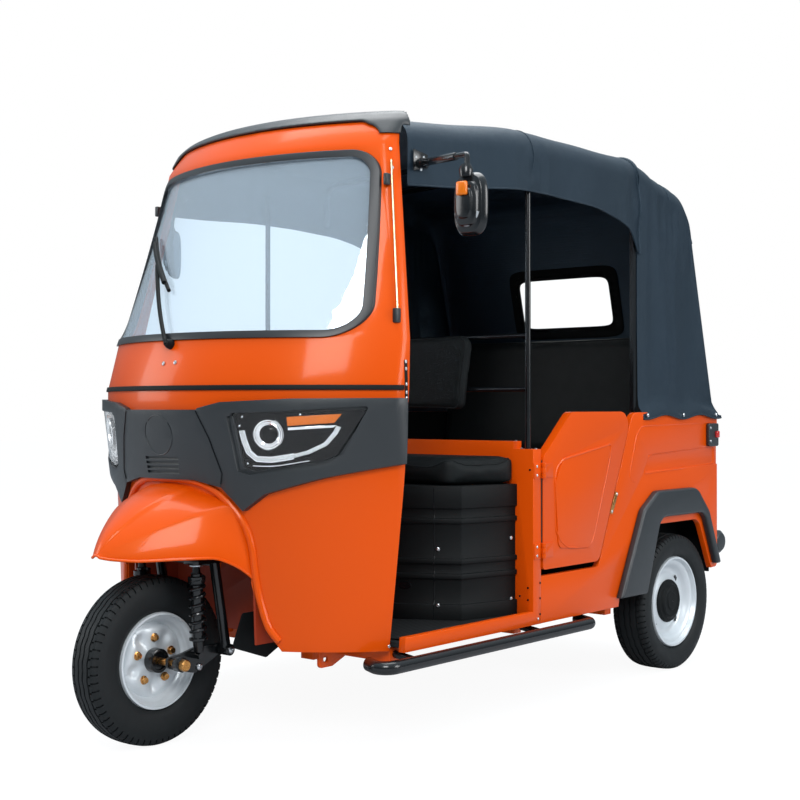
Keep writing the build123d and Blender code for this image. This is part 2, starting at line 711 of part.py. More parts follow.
def rear_hatch():
    """Luggage lid hung from its top edge, with a stamped field and a handle."""
    gap = MOVING_GAP
    leaf = front_plate(both([(HATCH_HALF - gap, HATCH_LOW + gap, 36), (HATCH_HALF - gap, HATCH_TOP - gap, 36)]),
                       (REAR_END - 18, REAR_END))
    leaf -= front_plate(both([(HATCH_HALF - 60, HATCH_LOW + 70, 30), (HATCH_HALF - 60, HATCH_TOP - 70, 30)]),
                        (REAR_END - 5, REAR_END + 5))
    leaf -= pair(hatch_axis(224.5, 275.5, 8.5))
    leaf += pair(hatch_axis(200, 300, HATCH_PIN))
    for low in (200, 278):
        leaf += pair(block((low, low + 22), (REAR_END, REAR_END + 9), (HATCH_TOP - 30, HATCH_TOP)))
    return leaf + block((-55, 55), (REAR_END - 1, REAR_END + 22), (HATCH_LOW + 22, HATCH_LOW + 40))


def flares():
    """Plastic wheel-arch lips standing proud of the side panels."""
    tall = 2 * REAR_TYRE_RADIUS
    lip = [
        (WHEELBASE - 435, 306), (WHEELBASE - 285, tall + 106, 60), (WHEELBASE - 185, tall + 168, 50),
        (WHEELBASE + 105, tall + 168, 80), (WHEELBASE + 200, tall + 76, 50), (WHEELBASE + 293, 366),
        (WHEELBASE + 262, 366), (WHEELBASE + 166, tall + 72, 60), (WHEELBASE - 166, tall + 72, 60), (WHEELBASE - 262, 306)]
    lips = side_plate(lip, (BODY_HALF + SEAT_GAP, BODY_HALF + 28))
    outer_edge = lips.faces().sort_by(Axis.X)[-1].edges()
    return pair(chamfer(outer_edge, 6))


def wheelhouses_rear():
    """Tunnels over the rear wheels inside the body."""
    top, inner = 2 * REAR_TYRE_RADIUS + 116, across(470)
    front, back = WHEELBASE - 390, REAR_END - 23
    outer = [(front, 330), (front, top, 60), (back, top, 60), (back, 330)]
    hollow = [(front + SHEET, 320), (front + SHEET, top - SHEET, 54), (back - SHEET, top - SHEET, 54), (back - SHEET, 320)]
    tunnel = side_plate(outer, (inner - SHEET, BODY_HALF - WALL - SEAT_GAP))
    return pair(tunnel - side_plate(hollow, (inner, BODY_HALF)))


def rear_bumper():
    """Bumper bar with its two domed end knobs and the plate holes."""
    front = REAR_END + SEAT_GAP
    bar = block((-across(560), across(560)), (front, REAR_END + BUMPER_DEPTH), (392, 470))
    bar = chamfer(bar.edges().filter_by(Axis.X).sort_by(Axis.Y)[-2:], 14)
    knob = rod((across(560), KNOB_STATION, 440), (BODY_HALF - 14, KNOB_STATION, 440), KNOB_RADIUS)
    dome = rod((BODY_HALF - 14, KNOB_STATION, 440), (BODY_HALF, KNOB_STATION, 440), KNOB_RADIUS)
    knob += chamfer(dome.faces().sort_by(Axis.X)[-1].edges(), 12)
    bar += pair(knob)
    bar -= pair(rod((80, REAR_END - 20, 431), (80, REAR_END + 90, 431), 3.5))
    return bar - block((-2 * BODY_HALF, 2 * BODY_HALF), (REAR_END - 200, front), (300, 600))


def rear_lamps():
    """Upright lamps on the rear wall and the wrap-round marker lamps on the sides."""
    tail = front_plate([(across(470), 640, 12), (across(590), 640, 12), (across(590), 860, 12), (across(470), 860, 12)],
                       (REAR_END + SEAT_GAP, REAR_END + 26))
    marker = side_plate([(REAR_END - 90, 810, 8), (REAR_END - 13, 810, 8), (REAR_END - 13, 897, 8), (REAR_END - 90, 897, 8)],
                        (BODY_HALF + SEAT_GAP, BODY_HALF + 14))
    return pair(tail + marker)


def step_bars():
    """Side bars with bent-in ends on two brackets each."""
    x, inner, level = BODY_HALF + 30, across(560) + SEAT_GAP, 250.0
    front, back = 262.0, along(1312)
    bar = bent_tube([(inner, front + 45, level), (x, front, level), (x, back, level), (inner, back + 45, level)], STEP_RADIUS, 34)
    for station in (420.0, POST_FRONT + 20):
        bar += rod((x, station, level), (inner, station, level + 12), 11)
    side = block((0, inner), (0, WHEELBASE), (100, 400))
    return pair(bar - side)


def mirrors():
    """Mirrors on cranked arms from the roof's front corners, the right one swung back."""
    pivot, elbow, grip = (BODY_HALF - 95, 573, 1672), (BODY_HALF + 100, 468, 1650), (BODY_HALF + 180, 447, 1590)
    foot = plan_plate([(515.2, 545), (525.3, 600), (533, 600), (523, 545)], (1645, 1700))
    foot = Pos(BODY_HALF - DRAWN_HALF, 0, 0) * foot
    arm = rod(pivot, elbow, MIRROR_ARM_RADIUS) + rod(elbow, grip, MIRROR_ARM_RADIUS)
    head = Pos(grip[0], st(grip[1]), grip[2] - 77) * Box(*MIRROR_HEAD)
    left = arm + fillet(head.edges(), 18)
    turn = Axis((-pivot[0], st(pivot[1]), 0), (0, 0, 1))
    return pair(foot) + left + mirrored(left).rotate(turn, -MIRROR_SWING)


def dashboard():
    """Shelf and instrument hood behind the windscreen."""
    shelf = block((-across(470), across(470)), (20, 205), (960, 1018))
    panel = side_plate([(20, 885), (225, 885), (225, 975, 20), (190, 1018), (20, 1018)], (-across(440), across(440)))
    return (shelf + panel) & shell_solid(WALL + SEAT_GAP, 880, 1040, 700)


# Front fork
def fork():
    """Stem, crown plate with shock seats, two legs and their pivot barrels."""
    stem_end = HANDLEBAR_LEVEL - (14 + SEAT_GAP) * cos(radians(STEERING_RAKE))
    stem = rod(steer_point(CROWN_LEVEL + 2), steer_point(stem_end), STEM_RADIUS)
    half = FORK_LEG_X + 16
    crown = plan_plate([(half, 52, 14), (half, 160, 20), (50, 222, 20), (-50, 222, 20), (-half, 160, 20), (-half, 52, 14)],
                       (CROWN_LEVEL, CROWN_LEVEL + CROWN_THICK))
    crown -= block((-FORK_LEG_X + 34, FORK_LEG_X - 34), (0, 110), (0, 1000))
    leg = rod((FORK_LEG_X, 136, CROWN_LEVEL + 8), (FORK_LEG_X, LINK_PIVOT[0] - 2, LINK_PIVOT[1] + 5), FORK_LEG_RADIUS)
    brace = block((-FORK_LEG_X, FORK_LEG_X), (140, 152), (CROWN_LEVEL - 12, CROWN_LEVEL + 2))
    barrel = rod((FORK_LEG_X - 18, *LINK_PIVOT), (FORK_LEG_X + 18, *LINK_PIVOT), 17)
    return stem + crown + brace + pair(leg + barrel)


def fork_links():
    """Leading links from the fork's pivots to the axle."""
    axle = FRONT_TYRE_RADIUS
    plate = [
        (LINK_PIVOT[0], LINK_PIVOT[1] + 16, 8), (LINK_PIVOT[0] + 18, LINK_PIVOT[1], 8), (150, axle - 10, 10), (84, axle - 40, 14),
        (-16, axle - 14, 12), (-16, axle + 16, 12), (40, axle + 22, 10), (84, axle + 32, 10)]
    link = side_plate(plate, (FORK_LEG_X - 32, FORK_LEG_X - 22))
    link += rod((FORK_LEG_X - 22, *SHOCK_FOOT), (FORK_LEG_X + 10, *SHOCK_FOOT), 9)
    link -= rod((0, 0, axle), (AXLE_HALF, 0, axle), AXLE_RADIUS + SEAT_GAP)
    return pair(link - rod((FORK_LEG_X - 19, *LINK_PIVOT), (FORK_LEG_X + 19, *LINK_PIVOT), 17.5))


def front_shocks():
    """Shock absorbers between the links and the crown, springs as sleeves."""
    foot = Vector(FORK_LEG_X, SHOCK_FOOT[0], SHOCK_FOOT[1] + 10)
    head = Vector(FORK_LEG_X, SHOCK_HEAD_STATION, CROWN_LEVEL - 1)
    spring_low, spring_high = foot + (head - foot) * 0.15, foot + (head - foot) * 0.92
    return pair(rod(foot, head, 12) + rod(spring_low, spring_high, SPRING_RADIUS))


def front_axle():
    return rod((-AXLE_HALF, 0, FRONT_TYRE_RADIUS), (AXLE_HALF, 0, FRONT_TYRE_RADIUS), AXLE_RADIUS)


def handlebar():
    station, level = steer_point(HANDLEBAR_LEVEL)[1], HANDLEBAR_LEVEL
    bar = rod((-60, station, level), (60, station, level), 14)
    grip = rod((58, station, level), (HANDLEBAR_HALF, station + 92, level + 20), 13)
    return bar + pair(grip)


# Wheels
def tyre(radius, width, bead, x, station):
    """Tyre with shoulders and four running grooves."""
    half, wall = width / 2, radius - bead
    right = [(half * 0.72, bead), (half * 0.98, bead + wall * 0.35), (half, bead + wall * 0.6), (half * 0.86, radius - 12),
             (half * 0.68, radius - 3)]
    for groove in (0.42, 0.14):
        right += [(half * groove + 3, radius - 1), (half * groove + 2, radius - 7), (half * groove - 2, radius - 7), (half * groove - 3, radius)]
    left = [(-a, b) for a, b in reversed(right)]
    return turned(right + left, x, station, radius)


def front_rim():
    bead, half = FRONT_BEAD_RADIUS - SEAT_GAP, FRONT_RIM_HALF
    profile = [
        (half - 8, bead), (half, bead - 3), (half, bead - 9), (30, bead - 14), (24, bead - 26), (10, 100), (16, 72), (18, FRONT_HUB_RADIUS),
        (half, FRONT_HUB_RADIUS), (half, AXLE_RADIUS + RUNNING_FIT)]
    return turned(profile + [(-a, b) for a, b in reversed(profile)], 0, 0, FRONT_TYRE_RADIUS)


def rear_rim():
    bead = REAR_BEAD_RADIUS - SEAT_GAP
    profile = [
        (-50, bead), (50, bead), (58, bead - 3), (58, bead - 9), (44, bead - 14), (34, bead - 30), (18, 118), (14, 100), (22, 82),
        (24, 62), (40, 60), (48, 46), (50, 0), (SHAFT_REACH, 0), (SHAFT_REACH, HALF_SHAFT_RADIUS + RUNNING_FIT),
        (-SHAFT_REACH, HALF_SHAFT_RADIUS + RUNNING_FIT), (-SHAFT_REACH, 60), (0, 82), (-4, 118), (0, bead - 22), (-50, bead - 9)]
    rim = turned(profile, REAR_WHEEL_X, WHEELBASE, REAR_TYRE_RADIUS)
    slot = Pos(REAR_WHEEL_X, st(WHEELBASE), REAR_TYRE_RADIUS) * Pos(20, 0, 108) * Box(80, 44, 12)
    for turn in range(4):
        centre = Vector(0, st(WHEELBASE), REAR_TYRE_RADIUS)
        rim -= slot.rotate(Axis(centre, (1, 0, 0)), 45 + 90 * turn)
    return rim


# Rear drive and suspension
def drive_unit():
    """Differential, motor beside it and the tubes with the half shafts."""
    axle, level = WHEELBASE, REAR_TYRE_RADIUS
    unit = rod((-90, axle, level), (90, axle, level), 95)
    unit += rod((20, MOTOR_STATION, level + 10), (255, MOTOR_STATION, level + 10), MOTOR_RADIUS)
    tube_end = REAR_WHEEL_X - SHAFT_REACH - 6
    shaft_end = REAR_WHEEL_X + SHAFT_REACH - SEAT_GAP
    unit += pair(rod((80, axle, level), (tube_end, axle, level), HALF_SHAFT_TUBE))
    return unit + pair(rod((tube_end - 4, axle, level), (shaft_end, axle, level), HALF_SHAFT_RADIUS))


def rear_suspension():
    """Trailing arms from the cross member to the axle tubes, and the shocks above them."""
    top, tube_top = REAR_TYRE_RADIUS + 65, REAR_TYRE_RADIUS + HALF_SHAFT_TUBE + SEAT_GAP
    front = BENCH_FRONT + 10 + SEAT_GAP
    edge = [(front, RAIL_LOW + 14), (front, FRAME_TOP), (WHEELBASE - 50, top), (WHEELBASE + 35, top), (WHEELBASE + 35, tube_top),
            (WHEELBASE - 50, tube_top)]
    x = across(400)
    arm = side_plate(edge, (x - 18, x + 18))
    station = WHEELBASE - 12
    shock = rod((x, station, top), (x, station, 2 * REAR_TYRE_RADIUS + 106), 14)
    return pair(arm + shock + rod((x, station, top + 20), (x, station, 2 * REAR_TYRE_RADIUS + 70), 26))


# Doors
def door_left():
    """Half door: pressed skin with a stamped field, hollow behind, on two hinges."""
    x = BODY_HALF + DOOR_PROUD
    front, low, top = POST_BACK + MOVING_GAP, 444.0, BELT + 3
    edge = [(front, low, 12), (along(1400), low, 35), (along(1618), top, 50), (along(1235), top, 45), (front, 798, 25)]
    hollow = [(front + 16, low + 16, 8), (along(1387), low + 16, 28), (along(1586), top - 17, 40), (along(1244), top - 17, 38),
              (front + 16, 790, 20)]
    field = [(front + 84, low + 62, 26), (along(1350), low + 50, 26), (along(1478), top - 108, 22), (along(1180), top - 150, 30),
             (front + 64, 716, 26)]
    door = side_plate(edge, (x - DOOR_THICK, x)) - side_plate(hollow, (x - DOOR_THICK - 4, x - DOOR_SKIN))
    door += side_plate(field, (x - 1, x + 4))
    for level in HINGE_LEVELS:
        door -= hinge_barrel(level - 9, level + 9, HINGE_KNUCKLE + 0.5)
        leaf = block((x, x + 4), (POST_BACK + 3, POST_BACK + 57), (level - 22, level + 22))
        door += leaf - block((x - 20, x + 20), (POST_BACK - 60, POST_BACK + 13), (level - 9, level + 9))
        door += hinge_barrel(level - 24, level - 9, HINGE_KNUCKLE) + hinge_barrel(level + 9, level + 24, HINGE_KNUCKLE)
        door += hinge_barrel(level - 24, level + 24, HINGE_PIN)
    return door


def build_parts():
    """All pieces by node name."""
    rear_tyre = tyre(REAR_TYRE_RADIUS, REAR_TYRE_WIDTH, REAR_BEAD_RADIUS, REAR_WHEEL_X, WHEELBASE)
    rim, door, side = rear_rim(), door_left(), body_side()
    parts = {
        "rear_tyre_left": rear_tyre,
        "rear_tyre_right": mirrored(rear_tyre),
        "rear_rim_left": rim,
        "rear_rim_right": mirrored(rim),
        "door_left": door,
        "door_right": mirrored(door),
        "body_sides": pair(side),
        "front_tyre": tyre(FRONT_TYRE_RADIUS, FRONT_TYRE_WIDTH, FRONT_BEAD_RADIUS, 0, 0),
    }
    single = (
        battery, canopy_back, canopy_bows, canopy_poles, canopy_roof, chassis_frame, dashboard, drive_unit, driver_backrest,
        driver_cushion, driver_seat_base, fascia, fender, flares, floor_pan, fork, fork_links, front_axle,
        front_lower_panel, front_rim, front_shocks, front_upper_shell, front_wheelhouse, handlebar, headlamps,
        hood_trim, mirrors, passenger_backrest, passenger_cushion, passenger_seat_base, posts_and_partition,
        rear_bumper, rear_hatch, rear_lamps, rear_panel, rear_suspension, rear_window, roof_cap, splash_guards,
        step_bars, wheelhouses_rear, windscreen, windscreen_seal)
    for make in single:
        parts[make.__name__] = make()
    return parts


os.makedirs("parts", exist_ok=True)
for name, shape in build_parts().items():
    export_step(shape, f"parts/{name}.step")
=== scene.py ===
import bmesh
import bpy
import math
from functools import cache
from mathutils import Matrix, Vector, noise
from mathutils.bvhtree import BVHTree


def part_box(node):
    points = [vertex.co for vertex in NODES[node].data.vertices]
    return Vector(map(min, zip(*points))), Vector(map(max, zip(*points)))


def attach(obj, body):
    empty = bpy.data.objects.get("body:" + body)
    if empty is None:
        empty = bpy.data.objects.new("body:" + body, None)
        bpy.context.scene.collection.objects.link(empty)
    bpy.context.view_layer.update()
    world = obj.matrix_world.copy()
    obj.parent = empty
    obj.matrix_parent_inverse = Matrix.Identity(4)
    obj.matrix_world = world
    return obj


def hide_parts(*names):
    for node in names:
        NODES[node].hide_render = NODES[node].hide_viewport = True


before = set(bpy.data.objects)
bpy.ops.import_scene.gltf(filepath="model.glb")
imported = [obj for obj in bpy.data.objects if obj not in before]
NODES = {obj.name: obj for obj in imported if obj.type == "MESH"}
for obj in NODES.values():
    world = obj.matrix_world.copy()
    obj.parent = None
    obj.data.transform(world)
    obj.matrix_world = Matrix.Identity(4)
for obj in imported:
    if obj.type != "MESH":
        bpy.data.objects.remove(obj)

bl_info = {
    "name": "Electric Rickshaw Dressing",
    "version": (1, 0, 0),
    "blender": (4, 5, 0),
    "location": "View3D > Sidebar > Rickshaw",
    "description": "Models the visible finish of a three-wheeled electric rickshaw around its frame",
    "category": "Object",
}

# Metres throughout; the vehicle faces -Y and its left side is +X.
# A station is a distance behind the front axle, a level is a height above the ground.
MM = 0.001
MERGE = 1e-5


def centre_of(node):
    low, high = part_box(node)
    return (low + high) / 2


LEFT, BACKWARD, UP = Vector((1, 0, 0)), Vector((0, 1, 0)), Vector((0, 0, 1))
FORWARD = -BACKWARD
FRONT_AXLE = centre_of("front_tyre")
REAR_AXLE = centre_of("rear_tyre_left")
FRONT_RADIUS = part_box("front_tyre")[1].z / 2
REAR_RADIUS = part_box("rear_tyre_left")[1].z / 2
FRONT_TYRE_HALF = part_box("front_tyre")[1].x
REAR_TYRE_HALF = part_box("rear_tyre_left")[1].x - REAR_AXLE.x
BODY_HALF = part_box("body_sides")[1].x
POST_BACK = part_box("body_sides")[0].y
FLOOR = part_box("floor_pan")[1].z


def at(x, station, level):
    """A point from millimetres: crosswise place, station and level."""
    return Vector((x * MM, FRONT_AXLE.y + station * MM, level * MM))


# Sizes and colours that a user would change

def colour_property(name, description, default):
    return bpy.props.StringProperty(name=name, description=description, default=default)


def length_property(name, description, default):
    return bpy.props.FloatProperty(
        name=name, description=description, default=default, unit="LENGTH", subtype="DISTANCE")


def count_property(name, description, default):
    return bpy.props.IntProperty(name=name, description=description, default=default)


class RICKSHAW_PG_finish(bpy.types.PropertyGroup):
    """Colours of the vehicle as sRGB hex values."""
    body: colour_property("Body paint", "Gloss enamel of the bodywork", "CE4803")
    plastic: colour_property("Plastic", "Moulded plastic of fascia, flares and cap", "1F2326")
    cloth: colour_property("Canopy cloth", "Coated cloth outside", "121D27")
    lining: colour_property("Canopy lining", "Coated cloth inside", "07090A")
    vinyl: colour_property("Seat vinyl", "Covers of the seats", "0E1213")
    tyre: colour_property("Tyre rubber", "Tyres", "0D1012")
    wheel: colour_property("Wheel paint", "Silver lacquer of the wheels", "CBD0D4")
    amber: colour_property("Amber lens", "Indicator lenses", "F07A10")
    red: colour_property("Red lens", "Tail lamp lenses", "B01410")


class RICKSHAW_PG_sizes(bpy.types.PropertyGroup):
    """Sizes of the parts that are modelled here."""
    screw: length_property("Screw head", "Radius of a screw's domed head", 5.5 * MM)
    piping: length_property("Piping", "Radius of the canopy's piping", 3.2 * MM)
    cloth: length_property("Cloth", "Thickness of the canopy cloth", 1.6 * MM)
    edge: length_property("Panel edge", "Radius of a folded panel edge", 2.0 * MM)
    tread: length_property("Tread depth", "Depth of the tyre's cross grooves", 4.5 * MM)
    wire: length_property("Spring wire", "Radius of the front spring's wire", 4.6 * MM)
    front_pitches: count_property("Front pitches", "Tread blocks round the front tyre", 64)
    rear_pitches: count_property("Rear pitches", "Tread blocks round a rear tyre", 72)


def finish():
    return bpy.context.scene.rickshaw_finish


def sizes():
    return bpy.context.scene.rickshaw_sizes


# Modelling helpers

def start_clean():
    if bpy.context.object and bpy.context.object.mode != "OBJECT":
        bpy.ops.object.mode_set(mode="OBJECT")
    bpy.ops.object.select_all(action="DESELECT")


def activate(*pieces):
    start_clean()
    for piece in pieces:
        piece.select_set(True)
    bpy.context.view_layer.objects.active = pieces[0]
    return pieces[0]


def settle(name):
    """Names the new object and puts its place into its mesh."""
    piece = bpy.context.object
    piece.name = piece.data.name = name
    activate(piece)
    bpy.ops.object.transform_apply(location=True, rotation=True, scale=True)
    return piece


def edit(piece, select=None):
    """Enters edit mode with the faces for which select(centre, normal) is true."""
    activate(piece)
    bpy.ops.object.mode_set(mode="EDIT")
    bpy.ops.mesh.select_mode(type="FACE")
    bpy.ops.mesh.select_all(action="DESELECT" if select else "SELECT")
    if select:
        mesh = bmesh.from_edit_mesh(piece.data)
        for face in mesh.faces:
            face.select_set(bool(select(face.calc_center_median(), face.normal)))
        bmesh.update_edit_mesh(piece.data)


def leave_edit():
    bpy.ops.object.mode_set(mode="OBJECT")


def modify(piece, kind, **settings):
    """Adds a modifier and applies it."""
    activate(piece)
    modifier = piece.modifiers.new(kind.title(), kind)
    for key, value in settings.items():
        setattr(modifier, key, value)
    bpy.ops.object.modifier_apply(modifier=modifier.name)
    return piece


def rounded(piece, width, segments=2, angle=30):
    return modify(piece, "BEVEL", width=width, segments=segments, limit_method="ANGLE",
                  angle_limit=math.radians(angle), use_clamp_overlap=True)


def thickened(piece, thickness, offset=-1.0):
    return modify(piece, "SOLIDIFY", thickness=thickness, offset=offset, use_even_offset=True)


def closed_up(piece):
    """Merges doubles and turns every face outwards."""
    edit(piece)
    bpy.ops.mesh.remove_doubles(threshold=MERGE)
    bpy.ops.mesh.normals_make_consistent(inside=False)
    leave_edit()
    return piece


def link(name, data):
    """Puts a new object into the scene and makes it the active one."""
    piece = bpy.data.objects.new(name, data)
    bpy.context.scene.collection.objects.link(piece)
    return activate(piece)


def facing(piece, way):
    """Turns an open sheet so that its faces look along way."""
    if sum(face.normal.dot(Vector(way)) for face in piece.data.polygons) < 0:
        piece.data.flip_normals()
    return piece


def cast_tree(piece):
    """A piece's surface, for casting lines at it."""
    mesh = piece.data
    corners = [vertex.co.copy() for vertex in mesh.vertices]
    return BVHTree.FromPolygons(corners, [list(face.vertices) for face in mesh.polygons])


def squircle(turn, power):
    """A point of a rounded square of half width 1; a smaller power gives squarer corners."""
    c, s = math.cos(turn), math.sin(turn)
    return math.copysign(abs(c) ** power, c), math.copysign(abs(s) ** power, s)


def box(name, low, high):
    start_clean()
    low, high = Vector(low), Vector(high)
    bpy.ops.mesh.primitive_cube_add(size=1, location=(low + high) / 2, scale=high - low)
    return settle(name)


def bar(name, start, end, radius, vertices=24):
    """A round bar between two points."""
    start_clean()
    start, end = Vector(start), Vector(end)
    turn = (end - start).to_track_quat("Z", "Y").to_euler()
    bpy.ops.mesh.primitive_cylinder_add(
        radius=radius, depth=(end - start).length, location=(start + end) / 2,
        rotation=turn, vertices=vertices)
    return settle(name)


def tube(name, points, radius, smooth=True, closed=False, sides=3):
    """A round tube along points, smoothed between them if asked."""
    start_clean()
    curve = bpy.data.curves.new(name, "CURVE")
    curve.dimensions = "3D"
    curve.bevel_depth = radius
    curve.bevel_resolution = sides
    curve.use_fill_caps = True
    curve.resolution_u = 6
    spline = curve.splines.new("NURBS" if smooth else "POLY")
    spline.points.add(len(points) - 1)
    for target, point in zip(spline.points, points):
        target.co = (*point, 1)
    if smooth:
        spline.order_u = 3
        spline.use_endpoint_u = not closed
    spline.use_cyclic_u = closed
    link(name, curve)
    bpy.ops.object.convert(target="MESH")
    return settle(name)


def outline_mesh(name, points, face=True):
    """A mesh of one face, or of one open line, through points."""
    start_clean()
    mesh = bpy.data.meshes.new(name)
    edges = [] if face else [(i, i + 1) for i in range(len(points) - 1)]
    mesh.from_pydata([tuple(p) for p in points], edges, [list(range(len(points)))] if face else [])
    return link(name, mesh)


def slab(name, points, depth):
    """A plate: a flat outline extruded by the vector depth."""
    piece = outline_mesh(name, points)
    edit(piece)
    bpy.ops.mesh.extrude_region_move(TRANSFORM_OT_translate={"value": depth})
    bpy.ops.mesh.select_all(action="SELECT")
    bpy.ops.mesh.normals_make_consistent(inside=False)
    leave_edit()
    return piece


def lathe(name, profile, centre, axis=(1, 0, 0), across=(0, 0, 1), steps=96):
    """A turned form from (along the axis, radius) rows in metres."""
    axis, across, centre = Vector(axis), Vector(across), Vector(centre)
    piece = outline_mesh(name, [centre + axis * a + across * r for a, r in profile], face=False)
    bpy.ops.object.mode_set(mode="EDIT")
    bpy.ops.mesh.select_mode(type="VERT")
    bpy.ops.mesh.select_all(action="SELECT")
    bpy.ops.mesh.spin(steps=steps, angle=math.tau, center=centre, axis=axis)
    leave_edit()
    return closed_up(piece)


def cloth_grid(name, columns, rows, place):
    """A grid of quads whose corners go to place(u, v), with u and v from 0 to 1."""
    start_clean()
    bpy.ops.mesh.primitive_grid_add(x_subdivisions=columns, y_subdivisions=rows, size=1)
    piece = settle(name)
    for vertex in piece.data.vertices:
        vertex.co = place(vertex.co.x + 0.5, vertex.co.y + 0.5)
    return piece


def slope(before, here, after, column):
    """The tangent of a smooth curve through three rows that never overshoots them."""
    left = (here[column] - before[column]) / ((here[0] - before[0]) or 1)
    right = (after[column] - here[column]) / ((after[0] - here[0]) or 1)
    if before is here:
        return right
    if after is here:
        return left
    return 2 * left * right / (left + right) if left * right > 0 else 0.0


def between(table, station):
    """A row of a table at any station, on a smooth curve through the rows."""
    last = len(table) - 2
    index = max([i for i in range(last + 1) if table[i][0] <= station] or [0])
    low, high = table[index], table[index + 1]
    before, after = table[max(index - 1, 0)], table[min(index + 2, last + 1)]
    span = high[0] - low[0]
    t = min(max((station - low[0]) / span, 0), 1)
    row = []
    for column in range(len(low)):
        start, end = slope(before, low, high, column) * span, slope(low, high, after, column) * span
        row.append(low[column] * (1 + 2 * t) * (1 - t) ** 2 + start * t * (1 - t) ** 2
                   + high[column] * t * t * (3 - 2 * t) - end * t * t * (1 - t))
    return row


def joined(name, pieces):
    activate(*pieces)
    if len(pieces) > 1:
        bpy.ops.object.join()
    return settle(name)


def twin(piece, name, matrix):
    """A copy with its own mesh, moved by a matrix."""
    copy = piece.copy()
    copy.data = piece.data.copy()
    copy.name = copy.data.name = name
    bpy.context.scene.collection.objects.link(copy)
    copy.data.transform(matrix)
    if matrix.to_3x3().determinant() < 0:
        copy.data.flip_normals()
    return copy


MIRROR = Matrix.Scale(-1, 4, (1, 0, 0))


def with_twin(piece):
    """The piece and its mirror image as one."""
    return joined(piece.name, [piece, twin(piece, piece.name + "_other", MIRROR)])


def hand_over(piece, finish_material, body="chassis", slot=None, smooth=35, replaces=()):
    """Shades, paints and fastens a finished piece."""
    activate(piece)
    if smooth:
        bpy.ops.object.shade_smooth_by_angle(angle=math.radians(smooth))
    if finish_material:
        piece.data.materials.clear()
        piece.data.materials.append(finish_material)
    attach(piece, body)
    if replaces:
        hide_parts(*replaces)
    return piece


def second_material(piece, extra, select):
    """Gives the faces for which select(centre, normal) is true another material."""
    piece.data.materials.append(extra)
    index = len(piece.data.materials) - 1
    for face in piece.data.polygons:
        if select(face.center, face.normal):
            face.material_index = index


def frame_copy(node, name):
    """A merged copy of a frame node's mesh."""
    piece = NODES[node].copy()
    piece.data = NODES[node].data.copy()
    for key in list(piece.keys()):
        del piece[key]
    piece.parent = None
    piece.name = piece.data.name = name
    bpy.context.scene.collection.objects.link(piece)
    activate(piece)
    bpy.ops.mesh.customdata_custom_splitnormals_clear()
    edit(piece)
    bpy.ops.mesh.remove_doubles(threshold=MERGE)
    bpy.ops.mesh.dissolve_limited(angle_limit=math.radians(0.3))
    leave_edit()
    return piece


def dressed(node, finish_material, width, segments=2, angle=30, body="chassis", slot=None, smooth=35):
    """A frame node with its edges rounded as folded sheet or a moulding has them."""
    piece = rounded(frame_copy(node, node + "_skin"), width, segments, angle)
    return hand_over(piece, finish_material, body, slot, smooth, (node,))


@cache
def skin(*nodes):
    """The surface of some frame nodes, for placing things on it."""
    corners, faces = [], []
    for node in nodes:
        mesh = NODES[node].data
        first = len(corners)
        corners += [vertex.co.copy() for vertex in mesh.vertices]
        faces += [[first + i for i in face.vertices] for face in mesh.polygons]
    return BVHTree.FromPolygons(corners, faces)


def hit(nodes, origin, direction):
    """Where a line meets some nodes: (point, outward normal)."""
    point, normal, _, _ = skin(*nodes).ray_cast(Vector(origin), Vector(direction))
    if point is None:
        raise RuntimeError(f"nothing of {nodes} lies beyond {tuple(origin)}")
    if normal.dot(Vector(direction)) > 0:
        normal = -normal
    return point, normal


FRONT_SHELLS = ("front_upper_shell", "front_lower_panel")


def on_front(x, level, nodes=FRONT_SHELLS):
    """A point of the front, in millimetres, and its normal."""
    return hit(nodes, (x * MM, -3, level * MM), (0, 1, 0))


def on_side(station, level, nodes, side=1):
    """A point of one side, in millimetres, and its normal."""
    return hit(nodes, (3 * side, FRONT_AXLE.y + station * MM, level * MM), (-side, 0, 0))


# Materials

def hex_colour(code):
    """Linear RGBA of an sRGB hex value."""
    parts = [int(code[i:i + 2], 16) / 255 for i in (0, 2, 4)]
    return [p / 12.92 if p <= 0.04045 else ((p + 0.055) / 1.055) ** 2.4 for p in parts] + [1]


def add(tree, kind, inputs=None, **settings):
    """Adds a node with its settings, its values and its links."""
    made = tree.nodes.new(kind)
    for key, value in settings.items():
        setattr(made, key, value)
    for socket, value in (inputs or {}).items():
        if isinstance(value, bpy.types.NodeSocket):
            tree.links.new(value, made.inputs[socket])
        else:
            made.inputs[socket].default_value = value
    return made


def surface(name, **sockets):
    """A material with a Principled surface: (material, tree, shader, object coordinates)."""
    made = bpy.data.materials.new(name)
    made.use_nodes = True
    tree = made.node_tree
    tree.nodes.clear()
    shader = add(tree, "ShaderNodeBsdfPrincipled", {k.replace("_", " "): v for k, v in sockets.items()})
    add(tree, "ShaderNodeOutputMaterial", {"Surface": shader.outputs[0]})
    place = add(tree, "ShaderNodeTexCoord").outputs["Object"]
    return made, tree, shader, place


def texture(tree, place, kind, scale, detail=2.0, **settings):
    """The height of a procedural texture, one cell of which is about 1 / scale metres wide."""
    inputs = {"Vector": place, "Scale": scale}
    if kind == "Noise":
        inputs["Detail"] = detail
    made = add(tree, "ShaderNodeTex" + kind, inputs, **settings)
    return made.outputs["Distance" if kind == "Voronoi" else "Fac"]


def mottled(tree, shader, place, low, high, scale, detail=3.0):
    """Lets the colour wander between two hex values."""
    cloud = texture(tree, place, "Noise", scale, detail)
    ramp = add(tree, "ShaderNodeMix", {"Factor": cloud}, data_type="RGBA")
    ramp.inputs[6].default_value = hex_colour(low)
    ramp.inputs[7].default_value = hex_colour(high)
    tree.links.new(ramp.outputs[2], shader.inputs["Base Color"])


